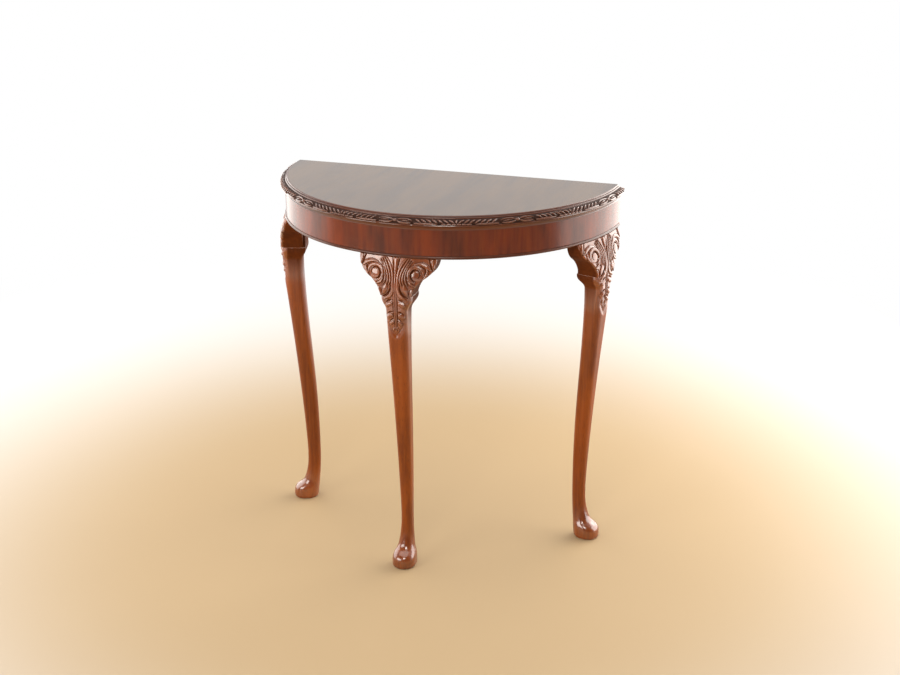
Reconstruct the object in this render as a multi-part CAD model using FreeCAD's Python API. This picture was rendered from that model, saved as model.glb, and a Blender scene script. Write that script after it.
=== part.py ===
"""Demilune hall table: half-round top, bent apron and three carved-knee cabriole legs.

Sizes are in millimetres. The table stands on z = 0, its curved front faces -Y and its
straight back faces +Y. The origin lies under the middle of its bounding box.
"""

import FreeCAD
import Part
import math
import os

Vector = FreeCAD.Vector

# Whole table
TABLE_HEIGHT = 730.0
FIELD_RADIUS = 338.5        # flat field of the top, out to the edge moulding
BACK_TRIM = 7.0             # the half circle stops this far in front of its diameter

# Top
EDGE_HEIGHT = 30.0          # edge moulding, from the field down to its underside
EDGE_REACH = 16.5           # edge moulding's furthest point beyond the field
PANEL_THICKNESS = 22.0
TOP_VENEER = 1.0
TONGUE_REACH = 5.0          # tongue of the panel in the edge moulding
TONGUE_THICKNESS = 6.0
FIRST_BEAD_WIDTH = 3.0      # rounded lip next to the field
FIRST_BEAD_DROP = 1.6
SECOND_BEAD_WIDTH = 2.2     # small round between the lip and the carved band
SECOND_BEAD_DROP = 1.9
QUIRK = 0.8                 # narrow step between two rounds
CARVED_BAND_HEIGHT = 10.5   # large round that carries the carving
CARVED_BAND_UNDERCUT = 1.8  # how far the band turns back in at its lower edge
FILLET_STEP = 1.2           # flat step under the carved band

# Apron
APRON_STEP = 6.5            # apron face beyond the field radius
APRON_DROP = 52.5           # apron in view below the edge moulding
CORE_THICKNESS = 18.0
APRON_VENEER = 1.0
BEAD_HEIGHT = 6.0
BEAD_REACH = 2.5            # bead's nose beyond the apron face
BEAD_SEAT = 4.0             # depth of the rebate that holds the bead

# Leg posts and knees, measured outwards from the apron face and down from the apron
SIDE_LEG_ANGLE = 16.5       # degrees in front of the half circle's diameter
BLOCK_WIDTH = 52.0
BLOCK_BACK = -37.0
POST_BACKING = 15.0         # core left in front of a leg post
POST_HEADROOM = 1.0
SHOULDER_REACH = 2.5        # front of the knee where it meets the apron
KNEE_REACH = 15.5           # front of the knee at its fullest
KNEE_DROP = 75.0            # apron to the ledge behind the knee
COVE_DROP = 29.0            # ledge to the top of the shank
EAR_REACH = 76.0            # centre line of the leg to the tip of an ear
EAR_DROP = 73.5             # apron to the lower end of an ear
EAR_BACK = -33.0
EAR_TIP = 3.8               # thickness of an ear at its lower end
EAR_ROUND = 42.0            # radius of the upper, outward curve of an ear
EAR_TURN = 58.0             # degrees from the upright where that curve turns into the hollow one

# Shank, ankle and foot
SHANK_FRONT = 15.2
SHANK_BACK = -28.5
SHANK_WIDTH = 42.6
ANKLE_HEIGHT = 107.0
ANKLE_FRONT = -23.5
ANKLE_BACK = -50.8
ANKLE_WIDTH = 22.4
TOE_REACH = 9.3
HEEL_BACK = -42.7
PAD_WIDTH = 47.0
SOLE_INSET = 3.5            # the pad draws in this much towards the floor

# Hidden frame
RAIL_THICKNESS = 20.0
DOVETAIL_LENGTH = 12.0
DOVETAIL_DEPTH = 14.0
DOVETAIL_ROOT = 24.0
DOVETAIL_SPREAD = 8.0       # extra height at the wide end
BEARER_WIDTH = 22.0
BEARER_HEIGHT = 40.0
TENON_LENGTH = 8.0
TENON_WIDTH = 12.0
TENON_HEIGHT = 22.0
GLUE_BLOCK_SIZE = 22.0
GLUE_BLOCK_HEIGHT = 44.0
GLUE_BLOCK_RISE = 5.0       # above the apron's lower edge
FIXING_BLOCK_WIDTH = 40.0
FIXING_BLOCK_DEPTH = 26.0
FIXING_BLOCK_HEIGHT = 22.0
FIXING_ANGLES = (42.0, 66.0)  # degrees in front of the diameter, on both sides

# Screws
LEG_SCREW_LENGTH = 32.0
LEG_SCREW_RISE = 28.0       # above the apron's lower edge
LEG_SCREW_SPREAD = 17.0     # from the centre line of the leg
TOP_SCREW_LENGTH = 34.0
SCREW_RADIUS = 2.2
SCREW_HEAD_RADIUS = 4.4
SCREW_HEAD_HEIGHT = 3.4
SCREW_POINT = 5.0
DRIVER_CLEARANCE = 1.0      # round a screw head in its counterbore

# How the sections change along a leg, and how many make the curve
FOOT_STATIONS = (           # share of the ankle height, share of the way from ankle to pad
    (0.075, 1.00), (0.140, 0.99), (0.196, 0.94), (0.243, 0.83), (0.280, 0.68),
    (0.318, 0.51), (0.374, 0.35), (0.467, 0.22), (0.580, 0.11), (0.730, 0.03),
)
SHANK_SECTIONS = 8
COVE_SECTIONS = 4
KNEE_SECTIONS = 6
ROUND_CORNER = 0.96         # corner radius as a share of half the section's width
SHANK_CORNER = 0.56
LEDGE_CORNER = 0.10

# Places that several pieces share
APRON_RADIUS = FIELD_RADIUS + APRON_STEP
EDGE_RADIUS = FIELD_RADIUS + EDGE_REACH
CORE_OUTER = APRON_RADIUS - APRON_VENEER
CORE_INNER = CORE_OUTER - CORE_THICKNESS
POST_FRONT = CORE_OUTER - POST_BACKING
POST_BACK = APRON_RADIUS + BLOCK_BACK
HALF_BLOCK = BLOCK_WIDTH / 2
EDGE_UNDERSIDE = TABLE_HEIGHT - EDGE_HEIGHT
PANEL_TOP = TABLE_HEIGHT - TOP_VENEER
PANEL_UNDERSIDE = PANEL_TOP - PANEL_THICKNESS
SHOULDER = EDGE_UNDERSIDE - APRON_DROP
LEDGE = SHOULDER - KNEE_DROP
SHANK_TOP = LEDGE - COVE_DROP
TABLE_DEPTH = max(EDGE_RADIUS, APRON_RADIUS + max(KNEE_REACH, TOE_REACH)) - BACK_TRIM
BACK_Y = TABLE_DEPTH / 2
AXIS_Y = BACK_Y + BACK_TRIM
RAIL_FRONT = BACK_Y - RAIL_THICKNESS
POST_FACE_Y = AXIS_Y - POST_BACK
LEG_TURNS = {
    "left_leg": 180.0 + SIDE_LEG_ANGLE,
    "front_leg": -90.0,
    "right_leg": -SIDE_LEG_ANGLE,
}
EAR_NAMES = {               # name of the ear on the leg's own left (-1) and right (+1)
    "left_leg": {-1: "left_leg_rear_ear", 1: "left_leg_front_ear"},
    "front_leg": {-1: "front_leg_left_ear", 1: "front_leg_right_ear"},
    "right_leg": {-1: "right_leg_front_ear", 1: "right_leg_rear_ear"},
}


def box(low, high):
    """A block from its lowest to its highest corner."""
    size = Vector(*high) - Vector(*low)
    return Part.makeBox(size.x, size.y, size.z, Vector(*low))


def wire(start, *runs):
    """A closed outline of points: a run of one point is a line, of two an arc through the first."""
    edges = []
    here = start
    for run in runs:
        if len(run) == 1:
            edges.append(Part.LineSegment(here, run[0]).toShape())
        else:
            edges.append(Part.Arc(here, run[0], run[1]).toShape())
        here = run[-1]
    if here.distanceToPoint(start) > 1e-6:
        edges.append(Part.LineSegment(here, start).toShape())
    return Part.Wire(edges)


def turned(shape, degrees):
    """A copy of a shape made about the z axis, turned and set on the half circle's own axis."""
    copy = shape.copy()
    copy.rotate(Vector(0, 0, 0), Vector(0, 0, 1), degrees)
    copy.translate(Vector(0, AXIS_Y, 0))
    return copy


def trimmed(shape):
    """The part of a shape in front of the table's straight back."""
    room = EDGE_RADIUS + TABLE_HEIGHT
    return shape.common(box((-room, -room, -room), (room, BACK_Y, room)))


def half_ring(section):
    """A section, drawn in radius and height, swept round the half circle and cut at the back."""
    ring = Part.Face(section).revolve(Vector(0, 0, 0), Vector(0, 0, 1), -180)
    return trimmed(turned(ring, 0))


def core_cylinder():
    """The space inside the apron core."""
    return turned(Part.makeCylinder(CORE_INNER, TABLE_HEIGHT), 0)


def screw(length):
    """A countersunk screw along +Z with its head's face at the origin."""
    section = wire(
        Vector(0, 0, 0),
        [Vector(SCREW_HEAD_RADIUS, 0, 0)],
        [Vector(SCREW_RADIUS, 0, SCREW_HEAD_HEIGHT)],
        [Vector(SCREW_RADIUS, 0, length - SCREW_POINT)],
        [Vector(0, 0, length)],
    )
    return Part.Face(section).revolve(Vector(0, 0, 0), Vector(0, 0, 1), 360)


def edge_moulding():
    """Bent moulding: lip, small round, large carved round and cove, with a groove for the panel."""
    def at(out, down):
        return Vector(FIELD_RADIUS + out, 0, TABLE_HEIGHT - down)

    lip_end = FIRST_BEAD_WIDTH
    round_start = FIRST_BEAD_DROP + QUIRK
    round_end = lip_end + QUIRK + SECOND_BEAD_WIDTH
    band_top = round_start + SECOND_BEAD_DROP + QUIRK
    band_bottom = band_top + CARVED_BAND_HEIGHT
    band_foot = EDGE_REACH - CARVED_BAND_UNDERCUT
    cove_start = band_foot - FILLET_STEP
    cove_end = APRON_STEP + QUIRK
    cove_depth = EDGE_HEIGHT - band_bottom
    seat = TOP_VENEER + PANEL_THICKNESS
    groove_top = TOP_VENEER + (PANEL_THICKNESS - TONGUE_THICKNESS) / 2
    section = wire(
        at(0, 0),
        [at(0.58 * lip_end, 0.25 * FIRST_BEAD_DROP), at(lip_end, FIRST_BEAD_DROP)],
        [at(lip_end, round_start)],
        [at(lip_end + QUIRK, round_start)],
        [at(lip_end + QUIRK + 0.72 * SECOND_BEAD_WIDTH, round_start + 0.32 * SECOND_BEAD_DROP),
         at(round_end, round_start + SECOND_BEAD_DROP)],
        [at(round_end, band_top)],
        [at(EDGE_REACH, (band_top + band_bottom) / 2), at(band_foot, band_bottom)],
        [at(cove_start, band_bottom)],
        [at(cove_end + 0.35 * (cove_start - cove_end), band_bottom + 0.35 * cove_depth),
         at(cove_end, EDGE_HEIGHT)],
        [at(APRON_STEP, EDGE_HEIGHT)],
        [at(APRON_STEP, seat)],
        [at(0, seat)],
        [at(0, groove_top + TONGUE_THICKNESS)],
        [at(TONGUE_REACH, groove_top + TONGUE_THICKNESS)],
        [at(TONGUE_REACH, groove_top)],
        [at(0, groove_top)],
    )
    return half_ring(section)


def top_panel(screws):
    """Half-round board with a tongue round its curved edge and pilot holes for its screws."""
    tongue_bottom = PANEL_UNDERSIDE + (PANEL_THICKNESS - TONGUE_THICKNESS) / 2
    section = wire(
        Vector(0, 0, PANEL_UNDERSIDE),
        [Vector(FIELD_RADIUS, 0, PANEL_UNDERSIDE)],
        [Vector(FIELD_RADIUS, 0, tongue_bottom)],
        [Vector(FIELD_RADIUS + TONGUE_REACH, 0, tongue_bottom)],
        [Vector(FIELD_RADIUS + TONGUE_REACH, 0, tongue_bottom + TONGUE_THICKNESS)],
        [Vector(FIELD_RADIUS, 0, tongue_bottom + TONGUE_THICKNESS)],
        [Vector(FIELD_RADIUS, 0, PANEL_TOP)],
        [Vector(0, 0, PANEL_TOP)],
    )
    return half_ring(section).cut(screws)


def top_veneer(side):
    """One leaf of the top's skin, on the left (-1) or the right (+1) of the centre line."""
    sheet = turned(Part.makeCylinder(FIELD_RADIUS, TOP_VENEER, Vector(0, 0, PANEL_TOP)), 0)
    ends = sorted((0, side * FIELD_RADIUS))
    leaf = box((ends[0], BACK_Y - FIELD_RADIUS, PANEL_TOP), (ends[1], BACK_Y, TABLE_HEIGHT))
    return sheet.common(leaf)


def apron_core(posts, dovetails, screws):
    """Bent core with a rebate for the bead, housings for the posts and sockets for the rail."""
    bead_radius = CORE_OUTER - BEAD_SEAT
    bead_top = SHOULDER + BEAD_HEIGHT
    section = wire(
        Vector(CORE_INNER, 0, SHOULDER),
        [Vector(bead_radius, 0, SHOULDER)],
        [Vector(bead_radius, 0, bead_top)],
        [Vector(CORE_OUTER, 0, bead_top)],
        [Vector(CORE_OUTER, 0, PANEL_UNDERSIDE)],
        [Vector(CORE_INNER, 0, PANEL_UNDERSIDE)],
    )
    return half_ring(section).cut(posts).cut(dovetails).cut(screws)


def apron_veneer():
    """Skin of the apron, from the bead up to the underside of the panel."""
    bead_top = SHOULDER + BEAD_HEIGHT
    section = wire(
        Vector(CORE_OUTER, 0, bead_top),
        [Vector(APRON_RADIUS, 0, bead_top)],
        [Vector(APRON_RADIUS, 0, PANEL_UNDERSIDE)],
        [Vector(CORE_OUTER, 0, PANEL_UNDERSIDE)],
    )
    return half_ring(section)


def apron_bead():
    """Half-round bead along the apron's lower edge, seated in the core's rebate."""
    seat_radius = CORE_OUTER - BEAD_SEAT
    nose = Vector(APRON_RADIUS + BEAD_REACH, 0, SHOULDER + BEAD_HEIGHT / 2)
    section = wire(
        Vector(seat_radius, 0, SHOULDER),
        [Vector(APRON_RADIUS, 0, SHOULDER)],
        [nose, Vector(APRON_RADIUS, 0, SHOULDER + BEAD_HEIGHT)],
        [Vector(seat_radius, 0, SHOULDER + BEAD_HEIGHT)],
    )
    return half_ring(section)


def blend(start, end, share):
    """The value a share of the way from start to end."""
    return start + (end - start) * share


def leg_section(height, back, front, width, corner):
    """Rounded section of a leg at a height, from back to front of the leg's own radius."""
    near = APRON_RADIUS + back
    far = APRON_RADIUS + front
    half = width / 2
    radius = corner * min(half, (far - near) / 2)
    slack = radius * (1 - math.sqrt(0.5))

    def at(x, y):
        return Vector(x, y, height)

    return wire(
        at(near + radius, -half),
        [at(far - radius, -half)],
        [at(far - slack, -half + slack), at(far, -half + radius)],
        [at(far, half - radius)],
        [at(far - slack, half - slack), at(far - radius, half)],
        [at(near + radius, half)],
        [at(near + slack, half - slack), at(near, half - radius)],
        [at(near, -half + radius)],
        [at(near + slack, -half + slack), at(near + radius, -half)],
    )


def foot_sections():
    """Sections of the pad foot, from the sole up to just under the ankle."""
    sections = [leg_section(0, HEEL_BACK + SOLE_INSET, TOE_REACH - SOLE_INSET,
                            PAD_WIDTH - 2 * SOLE_INSET, ROUND_CORNER)]
    sections.append(leg_section(FOOT_STATIONS[0][0] * ANKLE_HEIGHT / 3,
                                HEEL_BACK + SOLE_INSET / 5, TOE_REACH - SOLE_INSET / 3,
                                PAD_WIDTH - 2 * SOLE_INSET / 3, ROUND_CORNER))
    for rise, spread in FOOT_STATIONS:
        sections.append(leg_section(
            rise * ANKLE_HEIGHT,
            blend(HEEL_BACK, ANKLE_BACK, math.sin(rise * math.pi / 2)),
            blend(ANKLE_FRONT, TOE_REACH, spread),
            blend(ANKLE_WIDTH, PAD_WIDTH, math.sqrt(spread) * spread ** 0.3),
            ROUND_CORNER,
        ))
    return sections


def shank_sections():
    """Sections of the shank, from the ankle up to the cove under the knee."""
    sections = []
    for step in range(SHANK_SECTIONS + 1):
        share = step / SHANK_SECTIONS
        swing = share ** 1.2
        sections.append(leg_section(
            blend(ANKLE_HEIGHT, SHANK_TOP, share),
            blend(ANKLE_BACK, SHANK_BACK, swing * swing * (3 - 2 * swing)),
            blend(ANKLE_FRONT, SHANK_FRONT, share ** 1.3),
            blend(ANKLE_WIDTH, SHANK_WIDTH, share ** 1.1),
            blend(ROUND_CORNER, SHANK_CORNER, share),
        ))
    return sections


def cove_sections():
    """Sections of the cove that widens the shank out to the ledge behind the knee."""
    sections = []
    for step in range(1, COVE_SECTIONS + 1):
        share = step / COVE_SECTIONS
        sections.append(leg_section(
            blend(SHANK_TOP, LEDGE, share),
            blend(SHANK_BACK, BLOCK_BACK, share ** 3),
            blend(SHANK_FRONT, KNEE_REACH, math.sin(share * math.pi / 2)),
            blend(SHANK_WIDTH, BLOCK_WIDTH, share ** 2),
            blend(SHANK_CORNER, LEDGE_CORNER, share),
        ))
    return sections


def knee_form(back, low_side, high_side):
    """Knee between two sides: flat behind, bowed across in front and swelling towards the ledge."""
    bow = APRON_RADIUS + SHOULDER_REACH
    sections = []
    for step in range(KNEE_SECTIONS + 1):
        drop = step / KNEE_SECTIONS
        height = blend(SHOULDER, LEDGE, drop)
        front = APRON_RADIUS + blend(SHOULDER_REACH, KNEE_REACH, 1 - (1 - drop) ** 2)

        def at(side):
            return Vector(front - bow + math.sqrt(bow * bow - side * side), side, height)

        sections.append(wire(
            Vector(APRON_RADIUS + back, low_side, height),
            [at(low_side)],
            [at((low_side + high_side) / 2), at(high_side)],
            [Vector(APRON_RADIUS + back, high_side, height)],
        ))
    return Part.makeLoft(sections, True, False)


def ear_prism(side):
    """Space that an ear's scroll-cut outline sweeps from back to front, on one side of the leg."""
    tip = HALF_BLOCK + EAR_TIP
    turn = math.radians(EAR_TURN)
    upper_width = EAR_ROUND * (1 - math.cos(turn))
    upper_drop = EAR_ROUND * math.sin(turn)
    lower_width = EAR_REACH - tip - upper_width
    lower_drop = EAR_DROP - upper_drop
    end = 2 * math.atan2(lower_width, lower_drop) - turn
    lower_round = lower_drop / (math.sin(turn) - math.sin(end))

    def upper(angle):
        out = EAR_REACH - EAR_ROUND + EAR_ROUND * math.cos(angle)
        return Vector(0, side * out, SHOULDER - EAR_ROUND * math.sin(angle))

    def lower(angle):
        out = tip + lower_round * (math.cos(end) - math.cos(angle))
        return Vector(0, side * out, SHOULDER - EAR_DROP + lower_round * (math.sin(angle) - math.sin(end)))

    outline = wire(
        Vector(0, side * HALF_BLOCK, SHOULDER),
        [upper(0)],
        [upper(turn / 2), upper(turn)],
        [lower((turn + end) / 2), lower(end)],
        [Vector(0, side * HALF_BLOCK, SHOULDER - EAR_DROP)],
    )
    return Part.Face(outline).extrude(Vector(2 * APRON_RADIUS, 0, 0))


def ear(side):
    """Ear of a knee: the knee's bowed face carried outwards and cut to the scroll outline."""
    low_side, high_side = sorted((side * HALF_BLOCK, side * EAR_REACH))
    return knee_form(EAR_BACK, low_side, high_side).common(ear_prism(side))


def post():
    """Post of a leg, behind the apron."""
    return box((POST_BACK, -HALF_BLOCK, SHOULDER),
               (POST_FRONT, HALF_BLOCK, PANEL_UNDERSIDE - POST_HEADROOM))


def post_housing():
    """Room that a post takes out of the apron core, open at the top."""
    return box((POST_BACK, -HALF_BLOCK, SHOULDER), (POST_FRONT, HALF_BLOCK, PANEL_UNDERSIDE))


def leg(screws):
    """Cabriole leg in one piece: pad foot, curved shank, knee block and post."""
    below = Part.makeLoft(foot_sections() + shank_sections() + cove_sections(), True, False)
    knee = knee_form(BLOCK_BACK, -HALF_BLOCK, HALF_BLOCK)
    return below.fuse([knee, post()]).removeSplitter().cut(screws)


def leg_screw_set():
    """The screws of one leg, through its post into the apron core."""
    screws = []
    for side in (-1, 1):
        one = screw(LEG_SCREW_LENGTH)
        one.rotate(Vector(0, 0, 0), Vector(0, 1, 0), 90)
        one.translate(Vector(POST_BACK, side * LEG_SCREW_SPREAD, SHOULDER + LEG_SCREW_RISE))
        screws.append(one)
    return screws


def glue_blocks():
    """The two rubbed blocks in the corners between a post and the apron core."""
    low = SHOULDER + GLUE_BLOCK_RISE
    blocks = []
    for side in (-1, 1):
        sides = sorted((side * HALF_BLOCK, side * (HALF_BLOCK + GLUE_BLOCK_SIZE)))
        block = box((CORE_INNER - GLUE_BLOCK_SIZE, sides[0], low),
                    (CORE_INNER, sides[1], low + GLUE_BLOCK_HEIGHT))
        blocks.append(block.common(Part.makeCylinder(CORE_INNER, TABLE_HEIGHT)))
    return blocks


def fixing_block():
    """Block under the panel, fitted to the inside of the apron core."""
    block = box((CORE_INNER - FIXING_BLOCK_DEPTH, -FIXING_BLOCK_WIDTH / 2,
                 PANEL_UNDERSIDE - FIXING_BLOCK_HEIGHT),
                (CORE_INNER, FIXING_BLOCK_WIDTH / 2, PANEL_UNDERSIDE))
    return block.common(Part.makeCylinder(CORE_INNER, TABLE_HEIGHT))


def top_screw(x, y):
    """Screw up into the panel, its head as far below it as the fixing blocks are high."""
    one = screw(TOP_SCREW_LENGTH)
    one.translate(Vector(x, y, PANEL_UNDERSIDE - FIXING_BLOCK_HEIGHT))
    return one


def dovetail(side):
    """Dovetail at one end of the back rail, let into the end of the apron core from behind."""
    middle = (SHOULDER + PANEL_UNDERSIDE) / 2
    root = CORE_INNER - DOVETAIL_LENGTH
    tip = CORE_INNER + DOVETAIL_LENGTH
    half_root = DOVETAIL_ROOT / 2
    half_tip = half_root + DOVETAIL_SPREAD / 2
    outline = wire(
        Vector(side * root, BACK_Y, middle - half_root),
        [Vector(side * CORE_INNER, BACK_Y, middle - half_root)],
        [Vector(side * tip, BACK_Y, middle - half_tip)],
        [Vector(side * tip, BACK_Y, middle + half_tip)],
        [Vector(side * CORE_INNER, BACK_Y, middle + half_root)],
        [Vector(side * root, BACK_Y, middle + half_root)],
    )
    return Part.Face(outline).extrude(Vector(0, -DOVETAIL_DEPTH, 0))


def centre_bearer(screws):
    """Bearer from the back rail to the front post, with stub tenons and counterbored screws."""
    low = PANEL_UNDERSIDE - BEARER_HEIGHT
    middle = low + BEARER_HEIGHT / 2
    body = box((-BEARER_WIDTH / 2, POST_FACE_Y, low), (BEARER_WIDTH / 2, RAIL_FRONT, PANEL_UNDERSIDE))
    tenons = box((-TENON_WIDTH / 2, POST_FACE_Y - TENON_LENGTH, middle - TENON_HEIGHT / 2),
                 (TENON_WIDTH / 2, RAIL_FRONT + TENON_LENGTH, middle + TENON_HEIGHT / 2))
    bearer = body.fuse(tenons).removeSplitter()
    seat = PANEL_UNDERSIDE - FIXING_BLOCK_HEIGHT
    for x, y in bearer_screw_places():
        counterbore = Part.makeCylinder(SCREW_HEAD_RADIUS + DRIVER_CLEARANCE, seat - low, Vector(x, y, low))
        bearer = bearer.cut(counterbore)
    return bearer.cut(screws)


def bearer_screw_places():
    """Where the bearer's two screws stand, a quarter of its length from each end."""
    length = RAIL_FRONT - POST_FACE_Y
    return [(0, POST_FACE_Y + length * share) for share in (0.25, 0.75)]


def fixing_turns():
    """Directions of the fixing blocks, on both sides of the table."""
    turns = []
    for angle in FIXING_ANGLES:
        turns.append(-angle)
        turns.append(180 + angle)
    return turns


def back_rail(bearer):
    """Straight rail across the back, between the ends of the apron core."""
    rail = box((-CORE_INNER, RAIL_FRONT, SHOULDER), (CORE_INNER, BACK_Y, PANEL_UNDERSIDE))
    rail = rail.common(core_cylinder())
    return rail.fuse([dovetail(-1), dovetail(1)]).removeSplitter().cut(bearer)


def build():
    """All pieces of the table by name."""
    top_screws = [top_screw(x, y) for x, y in bearer_screw_places()]
    reach = CORE_INNER - FIXING_BLOCK_DEPTH / 2
    for turn in fixing_turns():
        angle = math.radians(turn)
        top_screws.append(top_screw(reach * math.cos(angle), AXIS_Y + reach * math.sin(angle)))
    bearer = centre_bearer(top_screws)

    leg_screws = []
    blocks = []
    housings = []
    pieces = {}
    for name, turn in LEG_TURNS.items():
        one_leg = turned(leg(leg_screw_set()), turn)
        pieces[name] = one_leg.cut(bearer) if name == "front_leg" else one_leg
        for side, ear_name in EAR_NAMES[name].items():
            pieces[ear_name] = turned(ear(side), turn)
        leg_screws += [turned(one, turn) for one in leg_screw_set()]
        blocks += [turned(one, turn) for one in glue_blocks()]
        housings.append(turned(post_housing(), turn))

    dovetails = [dovetail(-1), dovetail(1)]
    fixing_blocks = [turned(fixing_block(), turn).cut(top_screws) for turn in fixing_turns()]
    pieces["top_panel"] = top_panel(top_screws)
    pieces["top_veneer_left"] = top_veneer(-1)
    pieces["top_veneer_right"] = top_veneer(1)
    pieces["edge_moulding"] = edge_moulding()
    pieces["apron_core"] = apron_core(housings, dovetails, leg_screws)
    pieces["apron_veneer"] = apron_veneer()
    pieces["apron_bead"] = apron_bead()
    pieces["back_rail"] = back_rail(bearer)
    pieces["centre_bearer"] = bearer
    pieces["leg_glue_blocks"] = Part.makeCompound(blocks)
    pieces["leg_screws"] = Part.makeCompound(leg_screws)
    pieces["top_fixing_blocks"] = Part.makeCompound(fixing_blocks)
    pieces["top_fixing_screws"] = Part.makeCompound(top_screws)
    return pieces


os.makedirs("parts", exist_ok=True)
for node, shape in build().items():
    shape.exportStep(f"parts/{node}.step")
    print(f"{node}: {len(shape.Solids)} solid(s), {shape.Volume / 1000:.1f} cm3, valid {shape.isValid()}")
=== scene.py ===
"""Demilune hall table: carved knees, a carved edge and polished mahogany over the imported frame.

Sizes are in millimetres until a mesh is made, and meshes are in metres in the frame's own axes.
The table stands on z = 0, its curved front faces -Y and its straight back faces +Y.
"""

from __future__ import annotations

import logging
import math
from collections.abc import Callable
from dataclasses import dataclass, field
from enum import Enum
from typing import NamedTuple

import bmesh
import bpy
import numpy as np
from mathutils import Matrix, Vector

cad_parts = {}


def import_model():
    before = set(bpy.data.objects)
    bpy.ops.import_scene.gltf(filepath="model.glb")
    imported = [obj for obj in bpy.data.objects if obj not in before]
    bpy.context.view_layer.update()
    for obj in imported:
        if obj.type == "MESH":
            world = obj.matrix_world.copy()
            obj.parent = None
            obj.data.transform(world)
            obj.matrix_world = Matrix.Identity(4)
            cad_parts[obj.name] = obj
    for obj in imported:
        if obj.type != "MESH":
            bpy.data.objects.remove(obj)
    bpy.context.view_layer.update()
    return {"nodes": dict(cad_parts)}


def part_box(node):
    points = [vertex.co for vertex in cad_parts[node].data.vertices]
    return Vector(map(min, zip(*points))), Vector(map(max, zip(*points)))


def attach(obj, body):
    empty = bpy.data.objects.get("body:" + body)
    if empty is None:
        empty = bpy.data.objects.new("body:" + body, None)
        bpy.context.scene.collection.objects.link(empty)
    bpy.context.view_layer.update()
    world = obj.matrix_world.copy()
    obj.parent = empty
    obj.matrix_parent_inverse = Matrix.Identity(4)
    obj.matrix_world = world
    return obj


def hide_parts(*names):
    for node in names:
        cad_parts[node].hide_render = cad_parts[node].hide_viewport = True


LOG = logging.getLogger("demilune_table")
MM = 0.001
GRAIN = "grain_place"
RECESS = "recess"
CREST = "crest"
TOUCH = "touch"
FACING = "facing"

Colour = tuple[float, float, float]
Place = tuple[float, float, float]
Points = tuple[tuple[float, float], ...]
Faces = list[tuple[int, ...]]
Socket = bpy.types.NodeSocket


class Hand(Enum):
    """Which side of a centre line a mirrored piece lies on."""

    LEFT = -1
    RIGHT = 1


class Cut(Enum):
    """What a carver's stroke leaves behind."""

    RIDGE = "ridge"
    GROOVE = "groove"


class Slot(Enum):
    """The record's material slots, named for the kinds of new pieces."""

    EDGE = "mahogany_edge"
    FRIEZE = "mahogany_frieze"
    LEG = "mahogany_leg"
    STEEL = "screw_steel"


class Along(Enum):
    """The grain's direction on a piece that keeps its frame mesh, as a turn about each axis."""

    X = (0.0, 0.0, 0.0)
    Y = (0.0, 0.0, -90.0)
    Z = (0.0, 90.0, 0.0)


def blend(start: float, end: float, share: np.ndarray | float) -> np.ndarray | float:
    """Gives the value a share of the way from start to end."""
    return start + (end - start) * share


def ease(low: float, high: float, value: np.ndarray | float) -> np.ndarray | float:
    """Rises smoothly from 0 at low to 1 at high."""
    share = np.clip((value - low) / (high - low), 0.0, 1.0)
    return share * share * (3.0 - 2.0 * share)


def through(places: np.ndarray, values: np.ndarray, wanted: np.ndarray) -> np.ndarray:
    """Follows a smooth curve through a few values.

    Args:
        places: Rising places at which the values are known.
        values: The values there, one row each.
        wanted: Places at which the curve is wanted.

    Returns:
        The curve's values at the wanted places.
    """
    slopes = np.gradient(values, places, axis=0)
    index = np.clip(np.searchsorted(places, wanted) - 1, 0, len(places) - 2)
    span = places[index + 1] - places[index]
    t = (np.clip(wanted, places[0], places[-1]) - places[index]) / span
    if values.ndim > 1:
        t = t[:, None]
        span = span[:, None]
    after = index + 1
    start = (1 + 2 * t) * (1 - t) ** 2 * values[index] + t * (1 - t) ** 2 * span * slopes[index]
    end = t * t * (3 - 2 * t) * values[after] + t * t * (t - 1) * span * slopes[after]
    return start + end


def run_along(points: np.ndarray) -> np.ndarray:
    """Gives the distance along a line of points at each of them."""
    return np.concatenate([[0.0], np.cumsum(np.hypot(*np.diff(points, axis=0).T))])


def off_line(across: np.ndarray, down: np.ndarray, here: np.ndarray,
             there: np.ndarray) -> tuple[np.ndarray, np.ndarray]:
    """Measures points against a straight step of a line.

    Args:
        across: First coordinate of each point.
        down: Second coordinate of each point.
        here: Start of the step.
        there: End of the step.

    Returns:
        Each point's distance from the step, and its share of the way along it.
    """
    run = there - here
    share = (across - here[0]) * run[0] + (down - here[1]) * run[1]
    share = np.clip(share / max(float(run @ run), 1e-9), 0.0, 1.0)
    reach = np.hypot(across - here[0] - share * run[0], down - here[1] - share * run[1])
    return reach, share


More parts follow.
